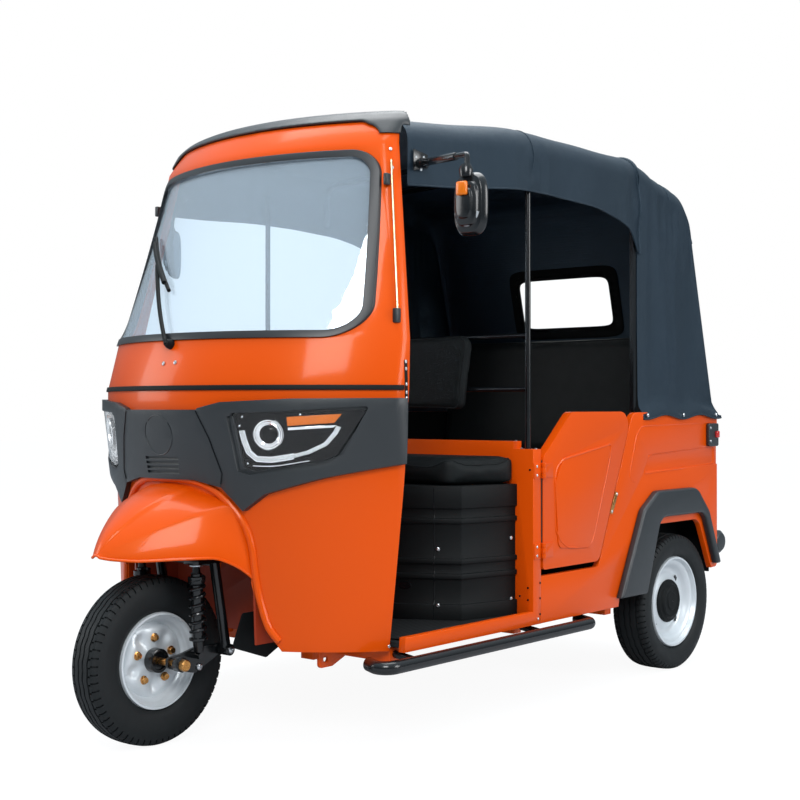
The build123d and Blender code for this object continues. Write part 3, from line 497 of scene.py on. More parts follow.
def clouded(name, cloud, **sockets):
    """A surface whose colour wanders; cloud holds its two hex values, its scale and perhaps its detail."""
    made, tree, shader, place = surface(name, **sockets)
    mottled(tree, shader, place, *cloud)
    return made, tree, shader, place


def bumped(tree, shader, height, distance, strength=1.0):
    bump = add(tree, "ShaderNodeBump", {"Height": height, "Distance": distance, "Strength": strength})
    tree.links.new(bump.outputs[0], shader.inputs["Normal"])


def varied_roughness(tree, shader, place, scale, low, high):
    cloud = texture(tree, place, "Noise", scale, 4.0)
    spread = add(tree, "ShaderNodeMapRange", {"Value": cloud, "To Min": low, "To Max": high})
    tree.links.new(spread.outputs[0], shader.inputs["Roughness"])


def shade(code, factor):
    """A hex value made darker or lighter."""
    return "".join(f"{min(255, round(int(code[i:i + 2], 16) * factor)):02X}" for i in (0, 2, 4))


# Each material is made once, at its first use, and then shared.

@cache
def gloss_enamel():
    """Stoved enamel on sheet steel: a clear gloss over orange, faint orange peel of 3 mm."""
    code = finish().body
    made, tree, shader, place = clouded("gloss_enamel", (shade(code, 0.97), shade(code, 1.03), 1.5),
        Roughness=0.36, Specular_IOR_Level=0.25, Coat_Weight=0.22, Coat_Roughness=0.1,
        Specular_Tint=(1.0, 0.55, 0.25, 1.0))
    bumped(tree, shader, texture(tree, place, "Noise", 330.0, detail=1.0), 0.00006)
    return made


@cache
def moulded_plastic():
    """Textured ABS: dark grey with a fine moulded grain of about 1 mm."""
    code = finish().plastic
    made, tree, shader, place = clouded("moulded_abs", (shade(code, 0.93), shade(code, 1.07), 6.0),
        Roughness=0.42, Specular_IOR_Level=0.55)
    varied_roughness(tree, shader, place, 40.0, 0.34, 0.46)
    bumped(tree, shader, texture(tree, place, "Voronoi", 1100.0), 0.00012)
    return made


@cache
def seat_moulding():
    """Roto-moulded polyethylene of the seat boxes: nearly black, low sheen."""
    made, tree, shader, place = clouded("moulded_polyethylene", ("090B0C", "0F1213", 7.0), Roughness=0.6,
        Specular_IOR_Level=0.15)
    bumped(tree, shader, texture(tree, place, "Voronoi", 900.0), 0.00015)
    return made


@cache
def polished_housing():
    """Polished ABS of the mirror housings."""
    return clouded("polished_abs", ("0B0D0F", "121518", 9.0), Roughness=0.22)[0]


@cache
def cabin_shade_black():
    """Black for the inward faces of the cabin walls: painted shade inside the cabin."""
    return clouded("black_painted_cabin_shade", ("08090A", "0E1011", 6.0), Roughness=0.7, Specular_IOR_Level=0.2)[0]


@cache
def painted_shade_enamel():
    """The body colour darkened for the wheelhouse: painted shade inside the wheel arch."""
    return clouded("body_enamel_darkened_as_painted_shade", ("7A2408", "A5330B", 9.0, 6.0), Roughness=0.5,
        Specular_IOR_Level=0.3)[0]


@cache
def gloss_plastic():
    """Polished black polycarbonate behind the lamp lenses."""
    return clouded("polished_polycarbonate", ("08090B", "0E1013", 9.0), Roughness=0.08,
        Specular_IOR_Level=0.2)[0]


@cache
def coated_cloth():
    """PVC-coated polyester: blue black, a 1.2 mm weave that shows through the coat."""
    code = finish().cloth
    made, tree, shader, place = clouded("pvc_coated_cloth",
        (shade(code, 0.88), shade(code, 1.12), 3.0, 5.0), Roughness=0.5, Specular_IOR_Level=0.4,
        Specular_Tint=(0.6, 0.82, 1.0, 1.0))
    varied_roughness(tree, shader, place, 14.0, 0.42, 0.56)
    across = texture(tree, place, "Wave", 130.0, bands_direction="Y")
    upward = texture(tree, place, "Wave", 130.0, bands_direction="Z")
    weave = add(tree, "ShaderNodeMath", {0: across, 1: upward}, operation="ADD")
    folds = texture(tree, place, "Noise", 7.0, detail=4.0)
    total = add(tree, "ShaderNodeMath", {0: folds, 1: 22.0, 2: weave.outputs[0]}, operation="MULTIPLY_ADD")
    bumped(tree, shader, total.outputs[0], 0.00022)
    return made


@cache
def cloth_lining():
    """The uncoated black inside of the cloth."""
    code = finish().lining
    made, tree, shader, place = clouded("black_lining", (shade(code, 0.8), shade(code, 1.2), 5.0),
        Roughness=0.9, Specular_IOR_Level=0.1)
    bumped(tree, shader, texture(tree, place, "Wave", 110.0, bands_direction="Y"), 0.0002)
    return made


@cache
def grained_vinyl():
    """Seat vinyl: near black with a pebble grain of about 3 mm."""
    code = finish().vinyl
    made, tree, shader, place = clouded("grained_vinyl", (shade(code, 0.9), shade(code, 1.15), 8.0),
        Roughness=0.58, Specular_IOR_Level=0.16)
    varied_roughness(tree, shader, place, 25.0, 0.52, 0.66)
    bumped(tree, shader, texture(tree, place, "Voronoi", 340.0, feature="SMOOTH_F1"), 0.0005)
    return made


@cache
def tyre_rubber():
    """Carbon-filled rubber: black, dry sheen, dust in the pores."""
    code = finish().tyre
    made, tree, shader, place = clouded("carbon_rubber", (shade(code, 0.85), shade(code, 1.25), 18.0, 6.0),
        Roughness=0.58, Specular_IOR_Level=0.3)
    varied_roughness(tree, shader, place, 30.0, 0.5, 0.72)
    bumped(tree, shader, texture(tree, place, "Noise", 900.0, detail=2.0), 0.00015)
    return made


@cache
def extruded_rubber():
    """Extruded black rubber of the seals: satin, with fine lengthwise streaks."""
    made, tree, shader, place = clouded("extruded_rubber", ("121417", "1B1E22", 12.0), Roughness=0.4)
    bumped(tree, shader, texture(tree, place, "Noise", 300.0, detail=2.0), 0.0001)
    return made


@cache
def stoved_black():
    """Stoved black on tube and forgings: semi-gloss."""
    made, tree, shader, place = clouded("stoved_black", ("07080A", "0E1012", 10.0), Roughness=0.22)
    bumped(tree, shader, texture(tree, place, "Noise", 420.0), 0.00006)
    return made


@cache
def silver_lacquer():
    """Aluminium-flake lacquer on pressed wheels: pale grey with a soft metal sheen."""
    code = finish().wheel
    made, tree, shader, place = clouded("silver_lacquer", (shade(code, 0.94), shade(code, 1.04), 14.0),
        Roughness=0.4, Metallic=0.35, Coat_Weight=0.3, Coat_Roughness=0.2)
    bumped(tree, shader, texture(tree, place, "Noise", 1500.0), 0.00003)
    return made


@cache
def zinc_steel():
    """Zinc-plated steel of screws and pins: bright, slightly cloudy."""
    made, tree, shader, place = clouded("zinc_plated_steel", ("B9BBBE", "D9DBDD", 60.0), Metallic=1.0,
        Roughness=0.28)
    varied_roughness(tree, shader, place, 120.0, 0.2, 0.38)
    return made


@cache
def passivated_brass():
    """Yellow-passivated fittings: the wheel nuts, axle and latch."""
    made, tree, shader, place = clouded("yellow_passivated_steel", ("B5793A", "D9A566", 70.0),
        Metallic=1.0, Roughness=0.27)
    varied_roughness(tree, shader, place, 150.0, 0.2, 0.36)
    return made


@cache
def yellow_zinc():
    """Pale yellow zinc plating of the pillar rod and latch."""
    return clouded("yellow_zinc_plate", ("D2BE8C", "EDE0B8", 50.0), Metallic=1.0, Roughness=0.25)[0]


@cache
def chrome():
    """Vacuum-plated reflectors and rings."""
    return clouded("vacuum_chrome", ("DDE0E3", "F2F4F6", 30.0), Metallic=1.0, Roughness=0.08)[0]


@cache
def frosted_guide():
    """The white light guide of the headlamps: frosted acrylic."""
    return clouded("frosted_acrylic", ("A9B0B5", "E6EAEC", 160.0), Roughness=0.25, Coat_Weight=0.5)[0]


def lens(name, code, weight=0.75, roughness=0.06):
    made, tree, shader, place = surface(name, Roughness=roughness, Transmission_Weight=weight, IOR=1.49)
    mottled(tree, shader, place, shade(code, 0.95), shade(code, 1.03), 20.0)
    return made


@cache
def amber_lens():
    """Tinted acrylic of the indicators."""
    return lens("amber_acrylic", finish().amber, 0.25, 0.12)


@cache
def red_lens():
    """Tinted acrylic of the tail lamps, with its prisms as a fine grid of 4 mm."""
    made, tree, shader, place = surface("red_acrylic", Roughness=0.12, Coat_Weight=0.6)
    code = finish().red
    mottled(tree, shader, place, shade(code, 0.85), shade(code, 1.1), 40.0)
    across = texture(tree, place, "Wave", 40.0, bands_direction="X")
    upward = texture(tree, place, "Wave", 40.0, bands_direction="Z")
    prism = add(tree, "ShaderNodeMath", {0: across, 1: upward}, operation="ADD")
    bumped(tree, shader, prism.outputs[0], 0.0006)
    return made


@cache
def lamp_glass():
    """Clear hard-coated polycarbonate over the headlamps."""
    made, tree, shader, _ = surface("clear_polycarbonate", Roughness=0.02, Transmission_Weight=1.0, IOR=1.2)
    shader.inputs["Base Color"].default_value = hex_colour("F6F8FA")
    return made


@cache
def screen_glass():
    """Laminated glass with a slight blue tint; its pale diffuse share is a painted reflection veil."""
    made, tree, shader, _ = surface("laminated_glass", Roughness=0.0, Transmission_Weight=0.86, IOR=1.01,
                                    Coat_Weight=1.0, Coat_IOR=1.9, Coat_Roughness=0.02)
    shader.inputs["Base Color"].default_value = hex_colour("D3E4F2")
    return made


@cache
def window_film():
    """Clear PVC film of the rear window, slightly wavy."""
    made, tree, shader, place = surface("clear_pvc_film", Roughness=0.03, Transmission_Weight=1.0, IOR=1.02)
    shader.inputs["Base Color"].default_value = hex_colour("F4F7F8")
    bumped(tree, shader, texture(tree, place, "Noise", 8.0), 0.0006)
    return made


@cache
def silvered_glass():
    """The mirrors' glass."""
    return clouded("silvered_glass", ("C9D0D6", "DCE2E7", 10.0), Metallic=1.0, Roughness=0.03)[0]


@cache
def ribbed_mat():
    """Moulded rubber mat with ribs every 9 mm."""
    made, tree, shader, place = clouded("ribbed_rubber_mat", ("0A0C0D", "131618", 9.0), Roughness=0.6,
        Specular_IOR_Level=0.3)
    bumped(tree, shader, texture(tree, place, "Wave", 18.0, bands_direction="X"), 0.0012)
    return made


@cache
def grey_stripe():
    """The printed pale band on the mirror housings."""
    return clouded("pale_grey_band", ("8E9296", "A6AAAE", 50.0), Roughness=0.35)[0]


# Fasteners

def stood(point, normal):
    """The matrix that stands a thing made along z at a point, along its normal."""
    return Matrix.Translation(point) @ normal.to_track_quat("Z", "Y").to_matrix().to_4x4()


def screw_head(radius):
    """A domed head with a cross recess, standing on z = 0 at the origin."""
    start_clean()
    bpy.ops.mesh.primitive_cylinder_add(radius=radius, depth=radius * 0.5, location=(0, 0, radius * 0.25),
        vertices=14)
    piece = settle("screw_head")
    edit(piece, lambda centre, normal: normal.z > 0.9)
    bpy.ops.mesh.inset(thickness=radius * 0.3, depth=radius * 0.22)
    bpy.ops.mesh.inset(thickness=radius * 0.35, depth=radius * 0.04)
    bpy.ops.mesh.inset(thickness=radius * 0.06, depth=-radius * 0.25)
    leave_edit()
    return piece


def scattered(name, places, finish_material, radius=None, body="chassis"):
    """Screws at (point, normal) places, as one piece."""
    source = screw_head(radius or sizes().screw)
    copies = []
    for index, (point, normal) in enumerate(places):
        copies.append(twin(source, f"{name}_{index}", stood(point - normal * 0.2 * MM, normal)))
    bpy.data.objects.remove(source)
    return hand_over(joined(name, copies), finish_material, body, "steel", 40)


def both_sides(places):
    """Places repeated on the right side."""
    flip = Vector((-1, 1, 1))
    return places + [(point * flip, normal * flip) for point, normal in places]


class Piece:
    """What every operator of this file shares."""
    bl_options = {"REGISTER", "UNDO"}

    def execute(self, context):
        self.build()
        return {"FINISHED"}


def painted_shade_inside(piece):
    """Makes the faces that look inwards black: painted shade inside the cabin."""
    def inner(centre, normal):
        if abs(normal.x) < 0.6 or normal.x * centre.x > 0:
            return False
        return abs(centre.x) < BODY_HALF - 1 * MM and centre.y > POST_BACK - 30 * MM

    second_material(piece, cabin_shade_black(), inner)


def pressed_line(name, places, nodes, radius, depth, closed=True):
    """A bead pressed into the left side's sheet along (station, level) places."""
    points = []
    loop = places + places[:1] if closed else places
    for (s0, z0), (s1, z1) in zip(loop, loop[1:]):
        steps = max(2, int(math.hypot(s1 - s0, z1 - z0) / 40))
        for step in range(steps):
            share = step / steps
            point, normal = on_side(s0 + (s1 - s0) * share, z0 + (z1 - z0) * share, nodes)
            points.append(point - normal * depth)
    if not closed:
        point, normal = on_side(*places[-1], nodes)
        points.append(point - normal * depth)
    return tube(name, points, radius, closed=closed, sides=2)


class RICKSHAW_OT_bodywork(Piece, bpy.types.Operator):
    """Painted sheet: shells, posts, sides, rear wall and frame"""
    bl_idname = "rickshaw.bodywork"
    bl_label = "Bodywork"

    def build(self):
        edge = sizes().edge
        for node, width, segments in (
                ("front_lower_panel", 4 * edge, 4), ("front_upper_shell", 2 * edge, 3),
                ("body_sides", 1.5 * edge, 3), ("posts_and_partition", edge, 2),
                ("rear_panel", edge, 2), ("chassis_frame", edge, 2)):
            piece = dressed(node, gloss_enamel(), width, segments, slot="paint_orange")
            if node == "body_sides":
                # The inward faces go black as painted shade of the cabin.
                painted_shade_inside(piece)
        # The wheelhouse gets a darker enamel: painted shade of the wheel arch.
        dressed("front_wheelhouse", painted_shade_enamel(), edge, 2, slot="paint_orange")
        wedge = [(1704, 724), (1738, 788), (2236, 810), (2236, 744)]
        waist = [(2240, 900), (1690, 892), (1652, 860), (1606, 724), (1622, 704), (1646, 696)]
        lines = [pressed_line("side_wedge", wedge, ("body_sides",), 3.2 * MM, 1.4 * MM),
                 pressed_line("side_waist", waist, ("body_sides",), 2.6 * MM, 1.2 * MM, closed=False)]
        hand_over(with_twin(joined("side_lines", lines)), gloss_enamel(), slot="paint_orange")


# Mudguard, one row per cross section, in millimetres
# station, half width, level of the lip, shoulder's place and level, level of the middle
FENDER = [
    (-187, 15, 545, 10, 548, 551),
    (-168, 42, 540, 31, 564, 582),
    (-120, 99, 536, 77, 592, 632),
    (-40, 174, 540, 139, 634, 690),
    (30, 226, 541, 186, 664, 723),
    (90, 257, 518, 219, 680, 738),
    (148, 281, 474, 250, 688, 745),
]
SKIRT = 0.3
RIDGE = 6.0


class RICKSHAW_OT_front_fender(Piece, bpy.types.Operator):
    """Front mudguard with its ridge, and the lip on the panel round it"""
    bl_idname = "rickshaw.front_fender"
    bl_label = "Front mudguard"

    def point(self, u, v):
        station = FENDER[0][0] + (FENDER[-1][0] - FENDER[0][0]) * v ** 1.3
        _, half, low, shoulder_x, shoulder, top = between(FENDER, station)
        side = 1 if u <= 0.5 else -1
        t = 1 - abs(u - 0.5) * 2
        if t < SKIRT:
            share = t / SKIRT
            x = half + (shoulder_x - half) * share ** 1.6
            return at(side * x, station, low + (shoulder - low) * share)
        share = (t - SKIRT) / (1 - SKIRT)
        rise = 1 - (1 - share) ** 2
        crest = min(max((share - 0.50) / 0.10, 0), 1)
        crest = crest * crest * (3 - 2 * crest) * RIDGE * min(1.0, v * 5)
        return at(side * shoulder_x * (1 - share), station, shoulder + (top - shoulder) * rise + crest)

    def build(self):
        def seated(u, v):
            point = self.point(u, v)
            face, _ = on_front(point.x / MM, max(point.z / MM, 655), ("front_lower_panel",))
            face_y = face.y if abs(point.x) < 255 * MM or point.z > 640 * MM else face.y + 6 * MM
            point.y = min(point.y, face_y + 1 * MM)
            return point

        piece = thickened(facing(closed_up(cloth_grid("front_mudguard", 96, 56, seated)), UP), 3 * MM)
        rim = [seated(0, 1 - i / 30) for i in range(31)] + [seated(i / 4, 0) for i in range(1, 4)]
        rim += [seated(1, i / 30) for i in range(31)]
        lip = tube("mudguard_lip", rim, 4.2 * MM)
        piece = joined("front_mudguard", [piece, lip])
        hand_over(piece, gloss_enamel(), slot="paint_orange", smooth=32, replaces=("fender",))
        self.bead()

    def bead(self):
        rows = [
            (0, 752), (70, 752), (124, 745), (172, 724), (208, 694), (239, 660), (262, 620),
            (276, 570), (281, 500), (288, 440), (298, 395), (306, 362), (318, 330), (340, 304)]
        line = [(-x, z) for x, z in reversed(rows[1:])] + rows
        points = []
        for x, z in line:
            point, normal = on_front(x, z, ("front_lower_panel",))
            points.append(point + normal * 1 * MM)
        piece = tube("panel_bead", points, 11 * MM)
        hand_over(piece, gloss_enamel(), slot="paint_orange")


# Badge disc: crosswise place, level and radius. Seam beside the middle moulding, drawn as a dark line of
# painted shade: crosswise places and levels.
BADGE = (0, 878, 57)
FASCIA_SEAM = [(153, 947), (187, 872), (216, 772), (207, 737)]
DARK_MOULDINGS = (
    "driver_seat_base", "passenger_seat_base", "splash_guards", "wheelhouses_rear", "dashboard",
    "hood_trim")


class RICKSHAW_OT_fascia(Piece, bpy.types.Operator):
    """Moulded plastic: fascia, trims, cap, flares and bumper"""
    bl_idname = "rickshaw.fascia"
    bl_label = "Fascia and mouldings"

    def build(self):
        for node, width, segments, slot in (
                ("fascia", 4 * MM, 3, "black_plastic"),
                ("flares", 5 * MM, 4, "black_plastic"),
                ("hood_trim", 1.5 * MM, 2, "black_rubber"),
                ("rear_bumper", 3 * MM, 3, "black_plastic"),
                ("splash_guards", 1 * MM, 2, "black_plastic"),
                ("wheelhouses_rear", 1.5 * MM, 2, "black_plastic"),
                ("dashboard", 5 * MM, 3, "black_plastic"),
                ("driver_seat_base", 3 * MM, 2, "black_plastic"),
                ("passenger_seat_base", 3 * MM, 2, "black_plastic"),
                ("battery", 4 * MM, 2, "black_plastic")):
            finish_material = seat_moulding() if node in DARK_MOULDINGS else moulded_plastic()
            dressed(node, finish_material, width, segments, slot=slot)
        cap = modify(frame_copy("roof_cap", "roof_cap_moulding"), "REMESH", mode="VOXEL", voxel_size=5 * MM)
        modify(cap, "SMOOTH", factor=0.5, iterations=14)
        hand_over(cap, moulded_plastic(), slot="black_plastic", smooth=180, replaces=("roof_cap",))
        x, level, radius = BADGE
        ring = []
        for index in range(48):
            c, s = squircle(math.tau * index / 48, 1)
            ring.append(on_front(x + radius * c, level + radius * s, ("fascia",))[0])
        hand_over(tube("badge_ring", ring, 1.7 * MM, closed=True), moulded_plastic(), slot="black_plastic")
        # The seam's groove is drawn as a black line in front of the fascia: painted shade of the groove.
        seam = []
        for (x0, z0), (x1, z1) in zip(FASCIA_SEAM, FASCIA_SEAM[1:]):
            for step in range(6):
                point, _ = on_front(x0 + (x1 - x0) * step / 6 - 2, z0 + (z1 - z0) * step / 6, ("fascia",))
                seam.append(point + Vector((2 * MM, 0.4 * MM, 0)))
        hand_over(with_twin(tube("fascia_seam_shade", seam, 1.9 * MM, smooth=False)), gloss_plastic(),
            slot="black_plastic")


class RICKSHAW_OT_glazing(Piece, bpy.types.Operator):
    """Windscreen, its seal, the wiper and the rear window"""
    bl_idname = "rickshaw.glazing"
    bl_label = "Glazing"

    def build(self):
        NODES["windscreen"].data.materials[0] = screen_glass()
        dressed("windscreen_seal", extruded_rubber(), 4 * MM, 3, slot="black_rubber", smooth=60)
        NODES["rear_window"].data.materials[0] = window_film()
        self.wiper()

    def wiper(self):
        skins = ("windscreen", "windscreen_seal", "front_upper_shell")
        root, out = on_front(4, 1139, FRONT_SHELLS)
        hub = lathe("wiper_hub", [(0, 0.001), (0, 0.015), (0.012, 0.014), (0.022, 0.009), (0.022, 0.001)],
                    root, out, out.orthogonal().normalized(), 20)
        lift = 20 * MM
        arm_places = [(4, 1140), (-30, 1175), (-110, 1270), (-190, 1372), (-205, 1392)]
        arm = [on_front(x, z, skins)[0] + Vector((0, -lift, 0)) for x, z in arm_places]
        blade = []
        for share in range(9):
            x, z = -88 - share * 31, 1302 + share * 24
            point, normal = on_front(x, z, skins)
            blade.append(point + normal * 9 * MM)
        spine = [point + Vector((0, -0.008, 0.002)) for point in blade[1:-1]]
        pieces = [hub]
        for name, points, radius in (("arm", arm, 6.5), ("blade", blade, 6), ("spine", spine, 7)):
            pieces.append(tube("wiper_" + name, points, radius * MM))
        hand_over(joined("wiper", pieces), seat_moulding(), slot="black_rubber")


# Light guide round the foot of the headlamp, crosswise place and level in millimetres
LAMP_GUIDE = [(279, 892), (283, 864), (292, 832), (312, 813), (350, 811), (396, 819), (440, 833),
    (478, 855), (500, 886), (508, 904)]


class RICKSHAW_OT_headlamps(Piece, bpy.types.Operator):
    """Headlamps: clear cover, black body, ring lens, light guide and indicator"""
    bl_idname = "rickshaw.headlamps"
    bl_label = "Headlamps"

    def inside(self, x, level, depth):
        point, normal = on_front(x, level, ("headlamps",))
        return point - normal * depth * MM, normal

    def shells(self):
        cover = frame_copy("headlamps", "lamp_covers")
        edit(cover, lambda centre, normal: normal.y > -0.35)
        bpy.ops.mesh.delete(type="FACE")
        leave_edit()
        back = twin(cover, "lamp_bodies", Matrix.Translation((0, 12.2 * MM, 0)))
        thickened(cover, 1.6 * MM)
        hand_over(cover, lamp_glass(), slot="lamp_lens", smooth=60, replaces=("headlamps",))
        thickened(back, 0.6 * MM, 1.0)
        hand_over(back, gloss_plastic(), slot="black_plastic", smooth=60)

    def along(self, name, rows, depth, radius):
        return tube(name, [self.inside(x, z, depth)[0] for x, z in rows], radius * MM)

    def plate(self, name, corners, depth, thickness):
        """A curved plate behind the cover between four (place, level) corners."""
        a, b, c, d = (Vector(corner) for corner in corners)

        def place(u, v):
            flat = a.lerp(b, u).lerp(d.lerp(c, u), v)
            return self.inside(flat.x, flat.y, depth)[0]

        piece = facing(cloth_grid(name, 8, 3, place), FORWARD)
        return rounded(thickened(piece, thickness * MM), 1.2 * MM, 2)

    def ribbon(self, name, rows, half, depth, thickness):
        """A band that follows rows at a constant width."""
        rows = [Vector(row) for row in rows]

        def place(u, v):
            spot = u * (len(rows) - 1)
            index = min(int(spot), len(rows) - 2)
            centre = rows[index].lerp(rows[index + 1], spot - index)
            before, after = rows[max(index - 1, 0)], rows[min(index + 2, len(rows) - 1)]
            heading = (rows[index + 1] - before).lerp(after - rows[index], spot - index).normalized()
            flat = centre + Vector((-heading.y, heading.x)) * half * (2 * v - 1)
            return self.inside(flat.x, flat.y, depth)[0]

        piece = facing(cloth_grid(name, 48, 2, place), FORWARD)
        return rounded(thickened(piece, thickness * MM), 1.0 * MM, 2)

    def ring(self):
        centre, normal = self.inside(350, 882, 10.5)
        across = Vector((0, 0, 1)).cross(normal).normalized()
        rows = [(0.000, 0.043), (0.006, 0.044), (0.009, 0.041), (0.009, 0.038), (0.006, 0.034),
            (0.007, 0.032), (0.003, 0.026), (0.001, 0.026)]
        ring = lathe("lamp_ring", rows, centre, normal, across, 48)
        eye = lathe("lamp_eye", [(0.0, 0.026), (0.004, 0.022), (0.007, 0.012), (0.008, 0.0005)], centre,
            normal, across, 40)
        return ring, eye

    def build(self):
        self.shells()
        ring, eye = self.ring()
        chrome_parts = [
            ring, self.along("lamp_strip", [(300, 794), (345, 791), (396, 800), (440, 809)], 9, 2.0),
            self.plate("lamp_shelf", [(398, 893), (398, 901), (505, 908), (497, 901)], 7.5, 3.0),
            self.ribbon("lamp_guide_back", LAMP_GUIDE, 8.5, 9.4, 1.2)]
        hand_over(with_twin(joined("lamp_chrome", chrome_parts)), chrome(), slot="lamp_lens")
        hand_over(with_twin(eye), gloss_plastic(), slot="lamp_lens")
        guide = self.ribbon("lamp_guide", LAMP_GUIDE, 5.0, 6.0, 4.0)
        hand_over(with_twin(guide), frosted_guide(), slot="lamp_lens")
        amber = self.plate("lamp_indicator", [(398, 905), (398, 930), (517, 939), (500, 914)], 6.5, 4.0)
        hand_over(with_twin(amber), amber_lens(), slot="lamp_lens")
        studs = [self.inside(x, z, 10) for x, z in ((284, 930), (274, 905), (286, 800), (430, 937),
            (540, 938))]
        scattered("lamp_studs", both_sides(studs), chrome(), 3 * MM)


# Canopy, one row per cross section, in millimetres
# station, half width, top level, corner radius, crown, level of the lower edge
CANOPY = [
    (531, 512, 1800, 66, 11, 1606),
    (700, 545, 1813, 72, 12, 1616),
    (1040, 606, 1838, 80, 14, 1640),
    (1385, 606, 1838, 80, 14, 1632),
    (1512, 606, 1838, 80, 14, 1616),
    (1612, 606, 1838, 80, 14, 1590),
    (1660, 606, 1838, 80, 14, 1556),
    (1700, 606, 1838, 80, 14, 1500),
]
BACK = [
    (1700, 606, 1838, 80, 14),
    (1740, 606, 1831, 80, 12),
    (1860, 606, 1796, 80, 10),
    (1910, 606, 1786, 80, 9),
    (2000, 606, 1768, 80, 8),
    (2068, 606, 1704, 80, 4),
    (2092, 606, 1616, 80, 3),
    (2306, 610, 780, 80, 2),
]


def section_point(row, foot, u, swell=0.0):
    """A point of a canopy cross section; u runs from the left foot (0) over the top to the right foot (1)."""
    _, half, top, corner, crown = row[:5]
    half, top = half + swell, top + swell
    side = 1 if u <= 0.5 else -1
    t = 1 - abs(u - 0.5) * 2
    wall, bend = 0.3, 0.55
    if t < wall:
        return side * half, foot + (top - corner - foot) * (t / wall) ** 1.5
    if t < bend:
        turn = (t - wall) / (bend - wall) * math.pi / 2
        return side * (half - corner * (1 - math.cos(turn))), top - corner * (1 - math.sin(turn))
    share = (t - bend) / (1 - bend)
    return side * (half - corner) * (1 - share), top + crown * (1 - (1 - share) ** 2)


# Flat sizes of the two sheets in metres: roof, and sides with rear
ROOF_FLAT, BACK_FLAT = (1.86, 1.18), (2.9, 0.72)

# The lower hem: stations of the snaps, mean level, rise between two snaps, and its end at the back
SNAPS = (1716, 1976, 2232)
HEM_LEVEL, HEM_SCALLOP, HEM_END = 924, 8, 2268

# Where the cloth is tied to the bows: station, level and depth of the dimple, in millimetres
TIES = [(1040, 1706, 9), (1908, 1738, 12), (1908, 1600, 8), (2062, 1655, 12), (2092, 1560, 9),
    (1700, 1660, 7)]


def tie_pull(station, level, over):
    """How far the ties draw the cloth in at a place of the side."""
    pull = 0.0
    for tie_station, tie_level, depth in TIES:
        away = math.hypot(station - tie_station, (level - tie_level) * 0.6)
        pull += depth * math.exp(-(away / 26) ** 2) - depth * 0.4 * math.exp(-((away - 52) / 30) ** 2)
    return pull * (1 - over)


